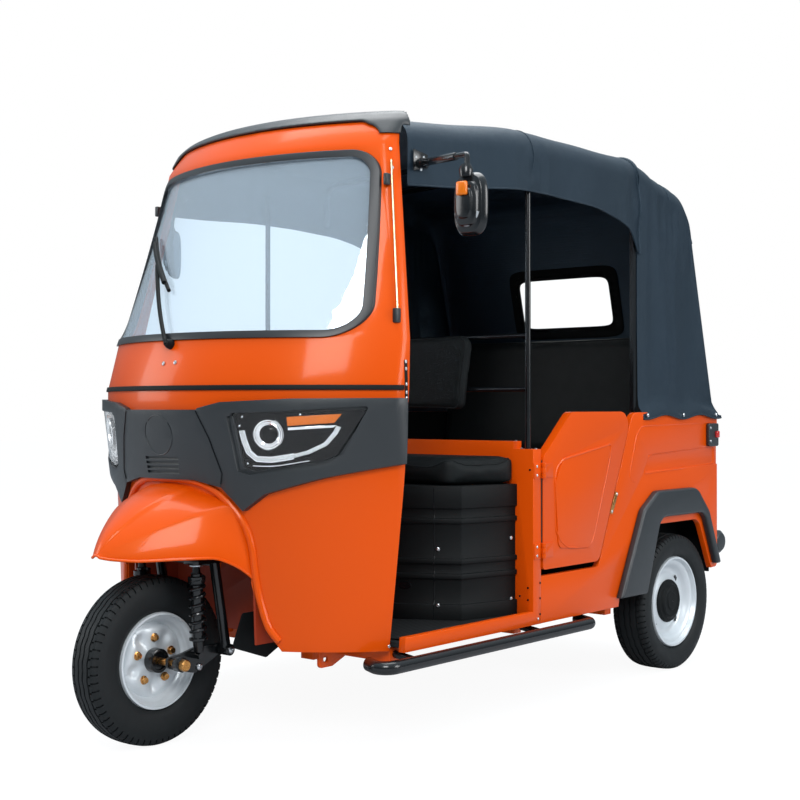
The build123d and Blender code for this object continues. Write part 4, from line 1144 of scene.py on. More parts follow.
class RICKSHAW_OT_canopy(Piece, bpy.types.Operator):
    """Canopy cloth in two curved sheets with piping, seams and snaps"""
    bl_idname = "rickshaw.canopy"
    bl_label = "Canopy"

    def roof_point(self, u, v, swell=0.0):
        station = CANOPY[0][0] + (CANOPY[-1][0] + 6 - CANOPY[0][0]) * v
        row = between(CANOPY, station)
        x, z = section_point(row, row[5], u, swell + 3.0)
        bows = (531, 1040, 1360, 1683)
        sag = 0.0
        for low, high in zip(bows, bows[1:]):
            if low < station < high:
                sag = math.sin(math.pi * (station - low) / (high - low)) ** 2
        over = max(0.0, 1 - abs(u - 0.5) * 3.4)
        flap = max(0.0, (station - 1590) / 110)
        z -= sag * 5.0 * over - flap ** 2 * 7.0 * over
        ripple = noise.noise(Vector((x * 0.006, station * 0.004, z * 0.003))) * 3.0
        inward = (sag * 4.0 - ripple - flap ** 2 * 9.0) * (1 - over) + tie_pull(station, z, over)
        x -= math.copysign(inward, x)
        return at(x, station, z)

    def back_point(self, u, v, swell=0.0):
        station = BACK[0][0] + (HEM_END - BACK[0][0]) * v
        row = between(BACK, station)
        foot = HEM_LEVEL - HEM_SCALLOP * math.cos((station - SNAPS[0]) * math.tau / (SNAPS[1] - SNAPS[0]))
        row[2] = max(row[2], foot + 12)
        row[3] = min(row[3], row[2] - foot - 6)
        x, z = section_point(row, foot, u, swell)
        edge = 1 - abs(u - 0.5) * 2
        flare = min(1.0, max(0.0, (foot + 52 - z) / 34))
        flare = flare * flare * (3 - 2 * flare) * 22.0 * min(1.0, max(0.0, 1 - (edge - 0.3) / 0.12))
        x += math.copysign(flare, x)
        if edge < 0.3:
            fade = min(1.0, (z - foot) / 300) * min(1.0, v * 6)
            fold = math.sin(station * 0.021 + z * 0.0016) * 5.0 * fade
            tuck = 7.0 * max(0.0, 1 - (station - BACK[0][0]) / 60)
            x -= math.copysign(tuck + fold + sag_of(z, foot, row[2]) * 4 + tie_pull(station, z, 0.0), x)
        else:
            z -= 3.0 * math.sin(v * math.pi * 7) ** 2 * min(1.0, v * 4) if station < 2050 else 0.0
        return at(x, station, z)

    def build(self):
        roof = cloth_grid("canopy_roof_cloth", 72, 64, self.roof_point)
        self.finish_sheet(roof, ROOF_FLAT, ["canopy_bows", "front_upper_shell"], ("canopy_roof",))
        back = cloth_grid("canopy_back_cloth", 96, 80, self.back_point)
        whole = cast_tree(back)
        self.cut_window(back)
        self.finish_sheet(back, BACK_FLAT, ["canopy_bows", "body_sides"], ("canopy_back",))
        self.trims()
        self.window_binding(whole)

    def cut_window(self, piece):
        low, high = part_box("rear_window")
        margin = 2 * MM
        edit(piece, lambda centre, normal: low.x + margin < centre.x < high.x - margin
             and low.z + margin < centre.z < high.z - margin and centre.y > high.y - 0.2)
        bpy.ops.mesh.delete(type="FACE")
        leave_edit()

    def finish_sheet(self, piece, flat, rests_on, nodes):
        thickened(facing(closed_up(piece), UP), sizes().cloth)
        hand_over(piece, coated_cloth(), slot="canopy_cloth", smooth=50, replaces=nodes)

    def trims(self):
        radius = sizes().piping
        steps = 60
        edges = []
        for u in (0.0, 1.0):
            line = [self.roof_point(u, i / steps) for i in range(steps + 1)]
            edges.append(tube("edge_piping", line, radius))
        hoop = [self.roof_point(i / steps, 1.0, 1.0) for i in range(steps + 1)]
        edges.append(tube("hoop_piping", hoop, radius * 2.4))
        hem = [self.back_point(0.0, i / steps, 0.0) for i in range(steps + 1)]
        hem += [self.back_point(i / steps, 1.0, 0.0) for i in range(1, steps)]
        hem += [self.back_point(1.0, 1 - i / steps, 0.0) for i in range(steps + 1)]
        edges.append(tube("hem_piping", hem, radius))
        for seam, first, last in ((0.435, 0.10, 0.90), (0.70, 0.30, 0.70)):
            line = [self.roof_point(first + (last - first) * i / steps, seam, 0.6)
                for i in range(steps + 1)]
            edges.append(tube("cross_seam", line, radius * 0.6))
        for share in (0.37, 0.68):
            line = [self.back_point(0.16 + 0.68 * i / steps, share, 0.6) for i in range(steps + 1)]
            edges.append(tube("bow_seam", line, radius * 0.5))
        hand_over(joined("canopy_piping", edges), coated_cloth(), slot="canopy_cloth")
        snaps = []
        for station in SNAPS:
            snaps.append((at(BODY_HALF / MM + 8.5, station, HEM_LEVEL + 6), LEFT))
        scattered("canopy_snaps", both_sides(snaps), zinc_steel(), 7 * MM)

    def window_binding(self, cloth):
        """A sewn band with rounded corners over the cloth's cut edge round the rear window."""
        low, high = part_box("rear_window")

        def place(u, v):
            reach = (-18 + 44 * v) * MM
            wide, tall = high.x + reach, (high.z - low.z) / 2 + reach
            c, s = squircle(u * math.tau, 0.22)
            spot = Vector((c * wide, 3, (low.z + high.z) / 2 + s * tall))
            return cloth.ray_cast(spot, FORWARD)[0] + FORWARD * 1.5 * MM

        piece = thickened(closed_up(cloth_grid("window_binding", 128, 4, place)), 10 * MM, 0)
        hand_over(rounded(piece, 2 * MM), cloth_lining(), slot="canopy_cloth", smooth=50)


def sag_of(z, foot, top):
    return math.sin(math.pi * min(max((z - foot) / (top - foot), 0), 1))


# Front and back station and half width of the driver's floor mat, and how far its edges curl up
MAT_FRONT, MAT_BACK, MAT_HALF, MAT_CURL = 424, 1012, 594, 15


def mat_point(u, v):
    """A place on the mat, whose side edges curl up in waves."""
    x, station = (2 * u - 1) * MAT_HALF, MAT_FRONT + (MAT_BACK - MAT_FRONT) * v
    edge = max(0.0, (abs(x) - MAT_HALF + 45) / 45) ** 2
    wave = noise.noise(Vector((x * 0.001, station * 0.012, 0.5)))
    return at(x, station, FLOOR / MM + 3 + edge * MAT_CURL * (0.6 + 0.8 * wave))


class RICKSHAW_OT_poles(Piece, bpy.types.Operator):
    """Tubes and bows in stoved black"""
    bl_idname = "rickshaw.poles"
    bl_label = "Poles, bows and step bars"

    def build(self):
        for node in ("canopy_poles", "canopy_bows", "step_bars", "rear_suspension", "fork_links",
                "handlebar"):
            NODES[node].data.materials[0] = stoved_black()
        dressed("fork", stoved_black(), 2 * MM, 2, body="steering", slot="frame_black")
        NODES["drive_unit"].data.materials[0] = zinc_steel()
        NODES["floor_pan"].data.materials[0] = ribbed_mat()
        mat = thickened(cloth_grid("floor_mat", 72, 64, mat_point), 2.5 * MM, 0)
        hand_over(mat, ribbed_mat(), slot="floor_mat")


# Levels of the door hinges, half height of a leaf and rise of its two screws, in millimetres
HINGE_LEVELS, LEAF_HALF, LEAF_SCREWS = (505, 758), 25, (-14, 14)
DOOR_FIELD = [(1134, 720), (1148, 765), (1185, 792), (1479, 835), (1469, 781), (1377, 550), (1338, 492),
    (1203, 505), (1162, 529), (1139, 567)]


def hinge_leaf(side, front, back, level):
    """One leaf of a hinge, lying on the sheet."""
    low, high = level - LEAF_HALF, level + LEAF_HALF
    corners = [(front, low), (back, low), (back, high), (front, high)]
    inner = BODY_HALF / MM - 0.5
    leaf = slab("hinge_leaf", [at(side * inner, s, z) for s, z in corners], (side * 4 * MM, 0, 0))
    return rounded(leaf, 0.8 * MM)


class RICKSHAW_OT_doors(Piece, bpy.types.Operator):
    """Half doors with their hinges and screws, and the rear hatch"""
    bl_idname = "rickshaw.doors"
    bl_label = "Doors"

    def build(self):
        edge = sizes().edge
        for side, name in ((1, "left"), (-1, "right")):
            body = f"door_{name}_body"
            dressed(f"door_{name}", gloss_enamel(), 1.6 * edge, 3, body=body, slot="paint_orange")
            places = []
            leaves = []
            out = LEFT * side
            for level in HINGE_LEVELS:
                leaves.append(hinge_leaf(side, 1074, 1112, level))
                for rise in LEAF_SCREWS:
                    places.append((at(side * (BODY_HALF / MM + 3), 1097, level + rise), out))
            hand_over(joined(f"door_hinges_{name}", leaves), gloss_enamel(), body, "paint_orange")
            scattered(f"door_screws_{name}", places, zinc_steel(), body=body)
            field = pressed_line(f"door_field_{name}", DOOR_FIELD, ("door_left",), 3.4 * MM, 1.2 * MM)
            if side < 0:
                field.data.transform(MIRROR)
                field.data.flip_normals()
            hand_over(field, gloss_enamel(), body, "paint_orange")
        dressed("rear_hatch", gloss_enamel(), 1.5 * edge, 2, body="hatch_body", slot="paint_orange")
        fixed = [hinge_leaf(1, 1022, 1058, level) for level in HINGE_LEVELS]
        for level in HINGE_LEVELS:
            low, high = (at(BODY_HALF / MM + 2.5, 1066, level + rise) for rise in (-LEAF_HALF, LEAF_HALF))
            fixed.append(bar("hinge_knuckle", low, high, 4.5 * MM))
        hand_over(with_twin(joined("post_hinges", fixed)), gloss_enamel(), slot="paint_orange")
        # A dark strip fills the gap in front of each door: painted shade of the gap.
        gap = box("door_gap_shade", at(BODY_HALF / MM - 4, 1063.5, 482), at(BODY_HALF / MM + 1.5, 1068, 790))
        hand_over(with_twin(gap), extruded_rubber(), slot="black_rubber")


class RICKSHAW_OT_fasteners(Piece, bpy.types.Operator):
    """Screws on posts, sills, seat box and shell"""
    bl_idname = "rickshaw.fasteners"
    bl_label = "Fasteners"

    def build(self):
        face = BODY_HALF / MM
        bright = [(at(face + 3, 1036, level + rise), LEFT) for level in HINGE_LEVELS
            for rise in LEAF_SCREWS]
        bright.append(on_side(1046, 292, ("posts_and_partition",)))
        bright.append(on_side(387, 289, ("front_lower_panel",)))
        scattered("body_screws", both_sides(bright), zinc_steel(), 4.6 * MM)
        # Black heads stand for the open holes in the posts: painted shade of the holes.
        holes = [on_side(1057, level, ("posts_and_partition",)) for level in (306, 356, 404)]
        for x, level in ((608, 761), (600, 390), (569, 362), (600, 352)):
            holes.append(hit(("posts_and_partition",), at(x, 900, level), BACKWARD))
        scattered("body_hole_shades", both_sides(holes), gloss_plastic(), 3.4 * MM)
        scattered("cowl_bolts", [on_front(-9, 1084), on_front(40, 1086)], zinc_steel(), 6 * MM)
        seat = []
        for x, station, level, out in (
                (437, 771, 521, (0.5, -0.866, 0)), (443, 764, 349, (0.5, -0.866, 0)),
                (551, 1000, 546, (0.97, -0.24, 0)), (551, 1000, 354, (0.97, -0.24, 0))):
            out = Vector(out)
            seat.append(hit(("driver_seat_base",), at(x, station, level) + out * 0.3, -out))
        scattered("seat_box_screws", both_sides(seat), zinc_steel(), 6 * MM)
        rail = [hit(("posts_and_partition",), at(x, 1040, 1000), (0, 0, -1)) for x in (540, 562, 616)]
        scattered("pole_nuts", both_sides(rail), zinc_steel(), 5 * MM)
        self.seam()

    def seam(self):
        """The upright joint in the seat box and its oval drain hole."""
        nodes = ("driver_seat_base",)
        inward = Vector((-0.5, 0.866, 0))
        points = [hit(nodes, at(431, 757, z) - inward * 0.3, inward)[0] for z in range(306, 712, 9)]
        joint = tube("seat_box_joint", points, 1.3 * MM, smooth=False)
        spot, out = hit(nodes, at(347, 719, 407) - inward * 0.3, inward)
        rows = [(0, 0.001), (0, 0.012), (0.0012, 0.011), (0.0012, 0.001)]
        hole = lathe("seat_box_hole", rows, (0, 0, 0), UP, LEFT, 24)
        hole.data.transform(stood(spot, out) @ Matrix.Diagonal((1.7, 1, 1, 1)))
        hand_over(with_twin(joined("seat_box_seams", [joint, hole])), gloss_plastic(), slot="black_plastic")


# How far inside a padded face's edge its piping runs, and the number of places it is laid through
WELT_INSET, WELT_POINTS = 9 * MM, 96
# How a cushion is blown up: pressure, frames, most that a point may travel, and room left to the solid's box
PRESSURE, FRAMES, TRAVEL, ROOM = 1.6, 14, 6 * MM, 0.4 * MM


class RICKSHAW_OT_seats(Piece, bpy.types.Operator):
    """Vinyl cushions and backrests, filled by simulation"""
    bl_idname = "rickshaw.seats"
    bl_label = "Seats"

    def build(self):
        for node, fill in (("driver_cushion", 0.7), ("driver_backrest", 0.7), ("passenger_cushion", 0.6),
                ("passenger_backrest", 0.6)):
            self.cushion(node, fill)

    def cushion(self, node, fill):
        piece = frame_copy(node, node + "_pad")
        low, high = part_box(node)
        middle = (low + high) / 2
        shrink = 6 * MM
        for vertex in piece.data.vertices:
            for axis in range(3):
                half = (high[axis] - low[axis]) / 2
                vertex.co[axis] = middle[axis] + (vertex.co[axis] - middle[axis]) * (half - shrink) / half
        rounded(piece, 12 * MM, 4)
        modify(piece, "REMESH", mode="VOXEL", voxel_size=9 * MM, use_smooth_shade=True)
        self.inflate(piece, low, high)
        modify(piece, "SMOOTH", factor=0.5, iterations=3)
        hand_over(piece, grained_vinyl(), slot="seat_vinyl", smooth=180, replaces=(node,))
        self.welt(piece, node, low, high)

    def welt(self, piece, node, low, high):
        """The piping sewn round the padded face: a seat's top or a backrest's front."""
        cover = cast_tree(piece)
        middle, half = (low + high) / 2, (high - low) / 2
        upright = half.z > half.y
        across = UP * half.z if upright else BACKWARD * half.y
        inward = BACKWARD if upright else -UP
        points = []
        for index in range(WELT_POINTS):
            c, s = squircle(math.tau * index / WELT_POINTS, 0.5)
            arm = LEFT * c * half.x + across * s
            inner, outer = 0.3, 1.1
            for _ in range(12):
                share = (inner + outer) / 2
                found = cover.ray_cast(middle + arm * share - inward, inward)[0]
                inner, outer = (share, outer) if found else (inner, share)
            spot = middle + arm * (inner - WELT_INSET / arm.length) - inward
            points.append(cover.ray_cast(spot, inward)[0])
        hand_over(tube(node + "_piping", points, 3 * MM, closed=True), grained_vinyl(), slot="seat_vinyl")

    def inflate(self, piece, low, high):
        """Blows the cover up a little, with its travel capped and kept in the frame node's box."""
        before = [vertex.co.copy() for vertex in piece.data.vertices]
        cloth = piece.modifiers.new("Cloth", "CLOTH")
        cloth.settings.use_pressure = True
        cloth.settings.uniform_pressure_force = PRESSURE
        cloth.settings.effector_weights.gravity = 0.0
        cloth.settings.quality = 4
        scene = bpy.context.scene
        for number in range(1, FRAMES + 1):
            scene.frame_set(number)
        activate(piece)
        bpy.ops.object.modifier_apply(modifier=cloth.name)
        scene.frame_set(1)
        for vertex, old in zip(piece.data.vertices, before):
            move = vertex.co - old
            if move.length > TRAVEL:
                vertex.co = old + move * (TRAVEL / move.length)
            for axis in range(3):
                vertex.co[axis] = min(max(vertex.co[axis], low[axis] + ROOM), high[axis] - ROOM)


# Tyre section from the bead to the middle of the tread, as shares of the half width and of the wall's height
TYRE_SECTION = [
    (0.70, 0.00), (0.80, 0.05), (0.90, 0.16), (0.92, 0.20), (0.965, 0.34), (1.00, 0.52), (0.985, 0.70),
    (0.965, 0.73), (0.955, 0.80), (0.90, 0.90), (0.84, 0.945), (0.72, 0.972), (0.58, 0.985),
    (0.56, 0.935), (0.50, 0.935), (0.48, 0.992), (0.22, 1.0), (0.20, 0.945), (0.13, 0.945), (0.11, 1.0)]


class RICKSHAW_OT_wheels(Piece, bpy.types.Operator):
    """Tyres with cut tread, pressed wheels, hubs, nuts and caps"""
    bl_idname = "rickshaw.wheels"
    bl_label = "Wheels"

    def tyre(self, name, axle, radius, half, bead, pitches):
        wall = radius - bead
        right = [(x * half, bead + r * wall) for x, r in TYRE_SECTION]
        profile = right + [(-x, r) for x, r in reversed(right)]
        columns = 5
        piece = lathe(name, profile, axle, steps=pitches * columns)
        depth = sizes().tread
        pitch = math.tau / pitches
        for vertex in piece.data.vertices:
            arm = vertex.co - axle
            if abs(arm.x) < 0.6 * half and math.hypot(arm.y, arm.z) > radius - 0.2 * wall:
                turn = math.atan2(arm.z, arm.y) / pitch
                vertex.co.x += 1.6 * MM * (abs((turn % 2.0) - 1.0) * 2 - 1)

        def groove(centre, normal):
            arm = Vector((0, centre.y - axle.y, centre.z - axle.z))
            reach = arm.length
            turn = math.atan2(arm.z, arm.y) % math.tau
            outer = abs(centre.x - axle.x) / half
            if reach < radius - 0.22 * wall or normal.dot(arm.normalized()) < 0.15:
                return False
            skew = 0.25 if centre.x > axle.x else 0.0
            cell = (turn / pitch + skew + outer * 0.6) % 1.0
            return outer > 0.60 and cell < 0.2

        edit(piece, groove)
        bpy.ops.mesh.extrude_region_shrink_fatten(TRANSFORM_OT_shrink_fatten={"value": -depth})
        leave_edit()
        return piece

    def front_disc(self):
        axle, bead = FRONT_AXLE, 0.1377
        profile = [
            (0.038, bead), (0.046, bead - 0.002), (0.046, bead - 0.008), (0.036, bead - 0.011),
            (0.031, bead - 0.015), (0.029, 0.118), (0.022, 0.1145), (0.013, 0.112), (0.009, 0.106),
            (0.016, 0.097), (0.021, 0.088), (0.022, 0.078), (0.020, 0.066), (0.018, 0.052), (0.018, 0.030)]
        full = profile + [(-a, r) for a, r in reversed(profile)]
        piece = lathe("front_disc", full, axle, steps=120)
        for vertex in piece.data.vertices:
            arm = vertex.co - axle
            reach = math.hypot(arm.y, arm.z)
            if 0.05 < reach < 0.098:
                petal = 0.5 + 0.5 * math.cos(5 * (math.atan2(arm.z, arm.y) - math.radians(54)))
                band = math.sin(math.pi * (reach - 0.05) / 0.048)
                vertex.co.x -= math.copysign(0.015 * petal ** 3 * band, arm.x)
        return piece

    def wheel_nuts(self):
        """The five nuts on the left of the front wheel."""
        rows = [(0, 0.001), (0, 0.0128), (0.003, 0.0128), (0.004, 0.0095), (0.012, 0.0087), (0.0125, 0.001)]
        nuts = []
        for index in range(5):
            turn = math.radians(18 + 72 * index)
            place = FRONT_AXLE + Vector((0.019, math.cos(turn) * 0.064, math.sin(turn) * 0.064))
            nuts.append(lathe(f"front_nut_{index}", rows, place, steps=12))
        return joined("front_wheel_nuts", nuts)

    def front(self):
        bead = 0.138
        tyre = self.tyre("front_tyre_cut", FRONT_AXLE, FRONT_RADIUS, FRONT_TYRE_HALF, bead,
            sizes().front_pitches)
        hand_over(tyre, tyre_rubber(), "front_wheel", "tyre_rubber", 30, ("front_tyre",))
        hand_over(self.front_disc(), silver_lacquer(), "front_wheel", "rim_silver", 50, ("front_rim",))
        hand_over(with_twin(self.wheel_nuts()), passivated_brass(), "front_wheel", "brass")
        collar = lathe("front_hub_collars", [
            (0.016, 0.012), (0.016, 0.034), (0.020, 0.035), (0.044, 0.034),
            (0.0455, 0.031), (0.0455, 0.026), (0.040, 0.024), (0.040, 0.0115)], FRONT_AXLE, steps=48)
        hand_over(with_twin(collar), stoved_black(), "front_wheel", "frame_black")

    def rear_disc(self, name, axle, side):
        bead = 0.1647
        profile = [
            (-0.050, bead - 0.010), (-0.050, bead), (0.050, bead), (0.058, bead - 0.003),
            (0.058, bead - 0.009), (0.050, bead - 0.013), (0.044, bead - 0.016), (0.041, bead - 0.026),
            (0.030, bead - 0.034), (0.020, 0.124), (0.014, 0.118), (0.013, 0.108), (0.017, 0.098),
            (0.023, 0.088), (0.025, 0.070), (0.025, 0.030), (-0.004, 0.030), (-0.004, 0.110),
            (-0.010, 0.125)]
        return lathe(name, [(a * side, r) for a, r in profile], axle, steps=96)

    def hub_cap(self, name, axle, side):
        rows = [
            (0.024, 0.001), (0.024, 0.078), (0.030, 0.0785), (0.036, 0.074), (0.038, 0.064),
            (0.044, 0.060), (0.046, 0.054), (0.044, 0.050), (0.044, 0.034), (0.047, 0.030),
            (0.048, 0.001)]
        return lathe(name, [(a * side, r) for a, r in rows], axle, steps=64)

    def rear(self, name, side):
        axle = Vector((REAR_AXLE.x * side, REAR_AXLE.y, REAR_AXLE.z))
        body = f"rear_wheel_{name}"
        tyre = self.tyre(f"rear_tyre_cut_{name}", axle, REAR_RADIUS, REAR_TYRE_HALF, 0.165,
            sizes().rear_pitches)
        hand_over(tyre, tyre_rubber(), body, "tyre_rubber", 30, (f"rear_tyre_{name}",))
        disc = self.rear_disc(f"rear_disc_{name}", axle, side)
        hand_over(disc, silver_lacquer(), body, "rim_silver", 40, (f"rear_rim_{name}",))
        hand_over(self.hub_cap(f"hub_cap_{name}", axle, side), seat_moulding(), body, "black_plastic", 30)
        # Black plates on the disc where its slots open: painted shade of the openings.
        slots = []
        for index in range(4):
            turn = math.radians(45 + 90 * index)
            outward = Vector((0, math.cos(turn), math.sin(turn)))
            across = Vector((0, -math.sin(turn), math.cos(turn)))
            base = axle + outward * 0.108 + Vector((0.0155 * side, 0, 0))
            corners = []
            for a, b in ((-12, -6), (12, -6), (8, 7), (-8, 7)):
                corners.append(base + (across * a + outward * b) * MM)
            slots.append(slab(f"slot_{name}_{index}", corners, (0.0012 * side, 0, 0)))
        hand_over(joined(f"wheel_slots_{name}", slots), stoved_black(), body, "frame_black")

    def build(self):
        self.front()
        self.rear("left", 1)
        self.rear("right", -1)


# Front spring legs in millimetres: crosswise place, stations of foot and head, radius of the coil's middle
LEG_X, LEG_FOOT, LEG_HEAD, COIL_RADIUS = 120, 78.5, 69, 21.5
COILS, COIL_STEPS = 7.5, 16


class RICKSHAW_OT_front_suspension(Piece, bpy.types.Operator):
    """Spring legs, axle ends and link bolts"""
    bl_idname = "rickshaw.front_suspension"
    bl_label = "Front suspension"

    def spring_leg(self):
        foot = at(LEG_X, LEG_FOOT, FRONT_AXLE.z / MM + 24)
        head = at(LEG_X, LEG_HEAD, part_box("front_shocks")[1].z / MM - 1)
        along = head - foot
        turn = along.to_track_quat("Z", "Y")
        points = []
        for index in range(int(COILS * COIL_STEPS) + 1):
            share = index / (COILS * COIL_STEPS)
            angle = math.tau * index / COIL_STEPS
            ring = Vector((math.cos(angle), math.sin(angle), 0)) * COIL_RADIUS * MM
            points.append(foot + along * (0.17 + 0.72 * share) + turn @ ring)
        coil = tube("spring_coil", points, sizes().wire, sides=2)
        rows = [
            (0, 0.001), (0, 0.013), (0.03, 0.016), (0.034, 0.026), (0.040, 0.026), (0.042, 0.017),
            (0.19, 0.017), (0.192, 0.021), (0.200, 0.025), (0.214, 0.025), (0.216, 0.016),
            (0.222, 0.016), (0.224, 0.012), (along.length - 0.002, 0.010), (along.length - 0.002, 0.001)]
        body = lathe("damper", rows, foot, along.normalized(), LEFT, 28)
        return joined("spring_leg", [coil, body])

    def build(self):
        leg = with_twin(self.spring_leg())
        hand_over(leg, stoved_black(), "steering", "frame_black", 40, ("front_shocks",))
        NODES["front_axle"].data.materials[0] = passivated_brass()
        sleeve = lathe("axle_sleeves", [
            (0.118, 0.0105), (0.118, 0.019), (0.121, 0.021), (0.142, 0.021), (0.144, 0.018),
            (0.144, 0.0105)], FRONT_AXLE, steps=10)
        hand_over(with_twin(sleeve), stoved_black(), "steering", "frame_black")
        nut = lathe("axle_nuts", [
            (0.144, 0.0102), (0.144, 0.0165), (0.157, 0.0165), (0.1598, 0.013), (0.1598, 0.0005)],
            FRONT_AXLE, steps=24)
        hand_over(with_twin(nut), passivated_brass(), "steering", "brass")
        links = [(at(138.2, 184, 257), LEFT), on_side(99, 216, ("fork_links",))]
        scattered("link_bolts", both_sides(links), zinc_steel(), 10 * MM, "steering")
        head = at(LEG_X, LEG_HEAD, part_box("front_shocks")[1].z / MM - 4)
        cap = lathe("spring_nuts", [
            (0, 0.0102), (0, 0.019), (0.003, 0.019), (0.003, 0.011), (0.011, 0.011), (0.011, 0.006),
            (0.019, 0.006), (0.020, 0.0005)], head, UP, LEFT, 18)
        hand_over(with_twin(cap), zinc_steel(), "steering", "steel")


# Degrees by which the right mirror is swung back
RIGHT_SWING = 57.5


class RICKSHAW_OT_mirrors(Piece, bpy.types.Operator):
    """Mirrors with cranked arms, indicators and a pale band"""
    bl_idname = "rickshaw.mirrors"
    bl_label = "Mirrors"

    def head_ring(self, centre, half_x, half_z, y, count=40):
        points = []
        for index in range(count):
            c, s = squircle(math.tau * index / count, 0.625)
            points.append(centre + Vector((c * half_x, y, s * half_z)))
        return points

    def head(self, centre):
        """Housing lofted back to front through rings: (half width, half height, y), millimetres."""
        rings = [(50, 84, 23), (55, 87, 18), (55, 87, 12), (50, 82, 4), (47, 78, -2), (38, 62, -4),
            (36, 60, -14), (26, 42, -17), (24, 40, -24)]
        loops = [self.head_ring(centre, w * MM, h * MM, y * MM) for w, h, y in rings]
        count = len(loops[0])
        corners = [tuple(point) for loop in loops for point in loop]
        faces = [list(range(count)), list(range(len(corners) - count, len(corners)))]
        for first in range(0, len(corners) - count, count):
            for step in range(count):
                here, ahead = first + step, first + (step + 1) % count
                faces.append([here, ahead, ahead + count, here + count])
        mesh = bpy.data.meshes.new("mirror_head")
        mesh.from_pydata(corners, [], faces)
        start_clean()
        return rounded(closed_up(link("mirror_head", mesh)), 1.5 * MM, 2, 35)

    def build(self):
        centre = at(BODY_HALF / MM + 180, 447, 1513)
        head = self.head(centre)
        pivot = at(BODY_HALF / MM - 95, 573, 1672)
        elbow = at(BODY_HALF / MM + 168, 458, 1652)
        grip = at(BODY_HALF / MM + 176, 449, 1600)
        bend = [pivot.lerp(elbow, 0.5), pivot.lerp(elbow, 0.93), elbow, grip.lerp(elbow, 0.6)]
        arm = tube("mirror_arm", [pivot, *bend, grip], 8 * MM)
        sleeve = bar("mirror_sleeve", pivot.lerp(elbow, 0.12), pivot.lerp(elbow, 0.78), 11 * MM)
        knuckle = bar("mirror_knuckle", pivot - LEFT * 6 * MM, pivot + LEFT * 30 * MM, 15 * MM)
        rounded(knuckle, 4 * MM)
        cup = lathe("mirror_cup", [(0, 0.001), (0, 0.017), (0.018, 0.020), (0.034, 0.013), (0.034, 0.001)],
                    centre + Vector((-0.004, -0.004, 0.074)), (0, 0, 1), (1, 0, 0), 24)
        black = joined("mirror_black", [head, arm, rounded(sleeve, 1.5 * MM), cup, knuckle])
        lamp = box("mirror_lamp", centre + Vector((-0.017, -0.036, 0.020)),
            centre + Vector((0.017, -0.022, 0.058)))
        rounded(lamp, 5 * MM, 3)
        band = self.band(centre)
        glass = outline_mesh("mirror_glass", self.head_ring(centre, 46 * MM, 79 * MM, 23.6 * MM))
        thickened(glass, 1.0 * MM, 0)
        left = ((black, polished_housing(), "black_plastic"), (lamp, amber_lens(), "lamp_lens"),
                (band, grey_stripe(), "black_plastic"), (glass, silvered_glass(), "steel"))
        foot = self.foot()
        hinge = Vector((-pivot.x, pivot.y, 0))
        swing = Matrix.Rotation(math.radians(-RIGHT_SWING), 4, "Z")
        back = Matrix.Translation(hinge) @ swing @ Matrix.Translation(-hinge) @ MIRROR
        for piece, finish_material, slot in left:
            other = twin(piece, piece.name + "_right", back)
            hand_over(joined(piece.name + "s", [piece, other]), finish_material, slot=slot,
                      replaces=("mirrors",) if piece is black else ())
        hand_over(with_twin(foot), stoved_black(), slot="frame_black")
        places = [(556, 1688), (585, 1690), (575, 1655)]
        screws = [on_side(station, level, ("mirrors",)) for station, level in places]
        scattered("mirror_screws", both_sides(screws), zinc_steel(), 5 * MM)

    def foot(self):
        corners = [at(524, 545, 1648), at(533.5, 600, 1660), at(533.5, 600, 1700), at(524, 545, 1712)]
        return rounded(slab("mirror_foot", corners, (2 * MM, 0, 0)), 1.0 * MM)

    def band(self, centre):
        points = []
        for index in range(13):
            turn = math.radians(200 + 140 * index / 12)
            points.append(centre + Vector((math.cos(turn) * 0.039, -0.006, math.sin(turn) * 0.052 - 0.006)))
        return tube("mirror_band", points, 5 * MM)


class RICKSHAW_OT_pillar_rod(Piece, bpy.types.Operator):
    """The bright rod, clip and rivets on the windscreen pillars"""
    bl_idname = "rickshaw.pillar_rod"
    bl_label = "Pillar rod"

    def build(self):
        shell = ("front_upper_shell",)
        top, _ = on_side(474, 1672, shell)
        low, _ = on_side(408, 1225, shell)
        outward = Vector((8 * MM, 0, 0))
        rod = bar("pillar_rod", top + outward, low + outward, 3.4 * MM, 16)
        hand_over(with_twin(rod), yellow_zinc(), slot="brass")
        foot = box("rod_foot", low + Vector((-0.002, -0.012, -0.03)), low + Vector((0.014, 0.010, 0.012)))
        point, _ = on_side(462, 1614, shell)
        clip = box("rod_clip", point + Vector((-0.002, -0.022, -0.018)),
            point + Vector((0.012, -0.002, 0.016)))
        fittings = [rounded(foot, 4 * MM, 3), rounded(clip, 4 * MM, 3)]
        hand_over(with_twin(joined("rod_fittings", fittings)), moulded_plastic(), slot="black_plastic")
        edge = [(411, 982), (423, 982), (423, 1090), (411, 1090)]
        corners = [on_side(station, level, shell)[0] for station, level in edge]
        strip = rounded(slab("pillar_strip", corners, (2.4 * MM, 0, 0)), 0.8 * MM)
        hand_over(with_twin(strip), seat_moulding(), slot="black_plastic")
        places = [on_side(station, level, shell) for station, level in (
            (417, 1086), (417, 1066), (417, 1023), (417, 1000), (417, 984), (484, 1706), (478, 1650))]
        scattered("pillar_rivets", both_sides(places), zinc_steel(), 5 * MM)


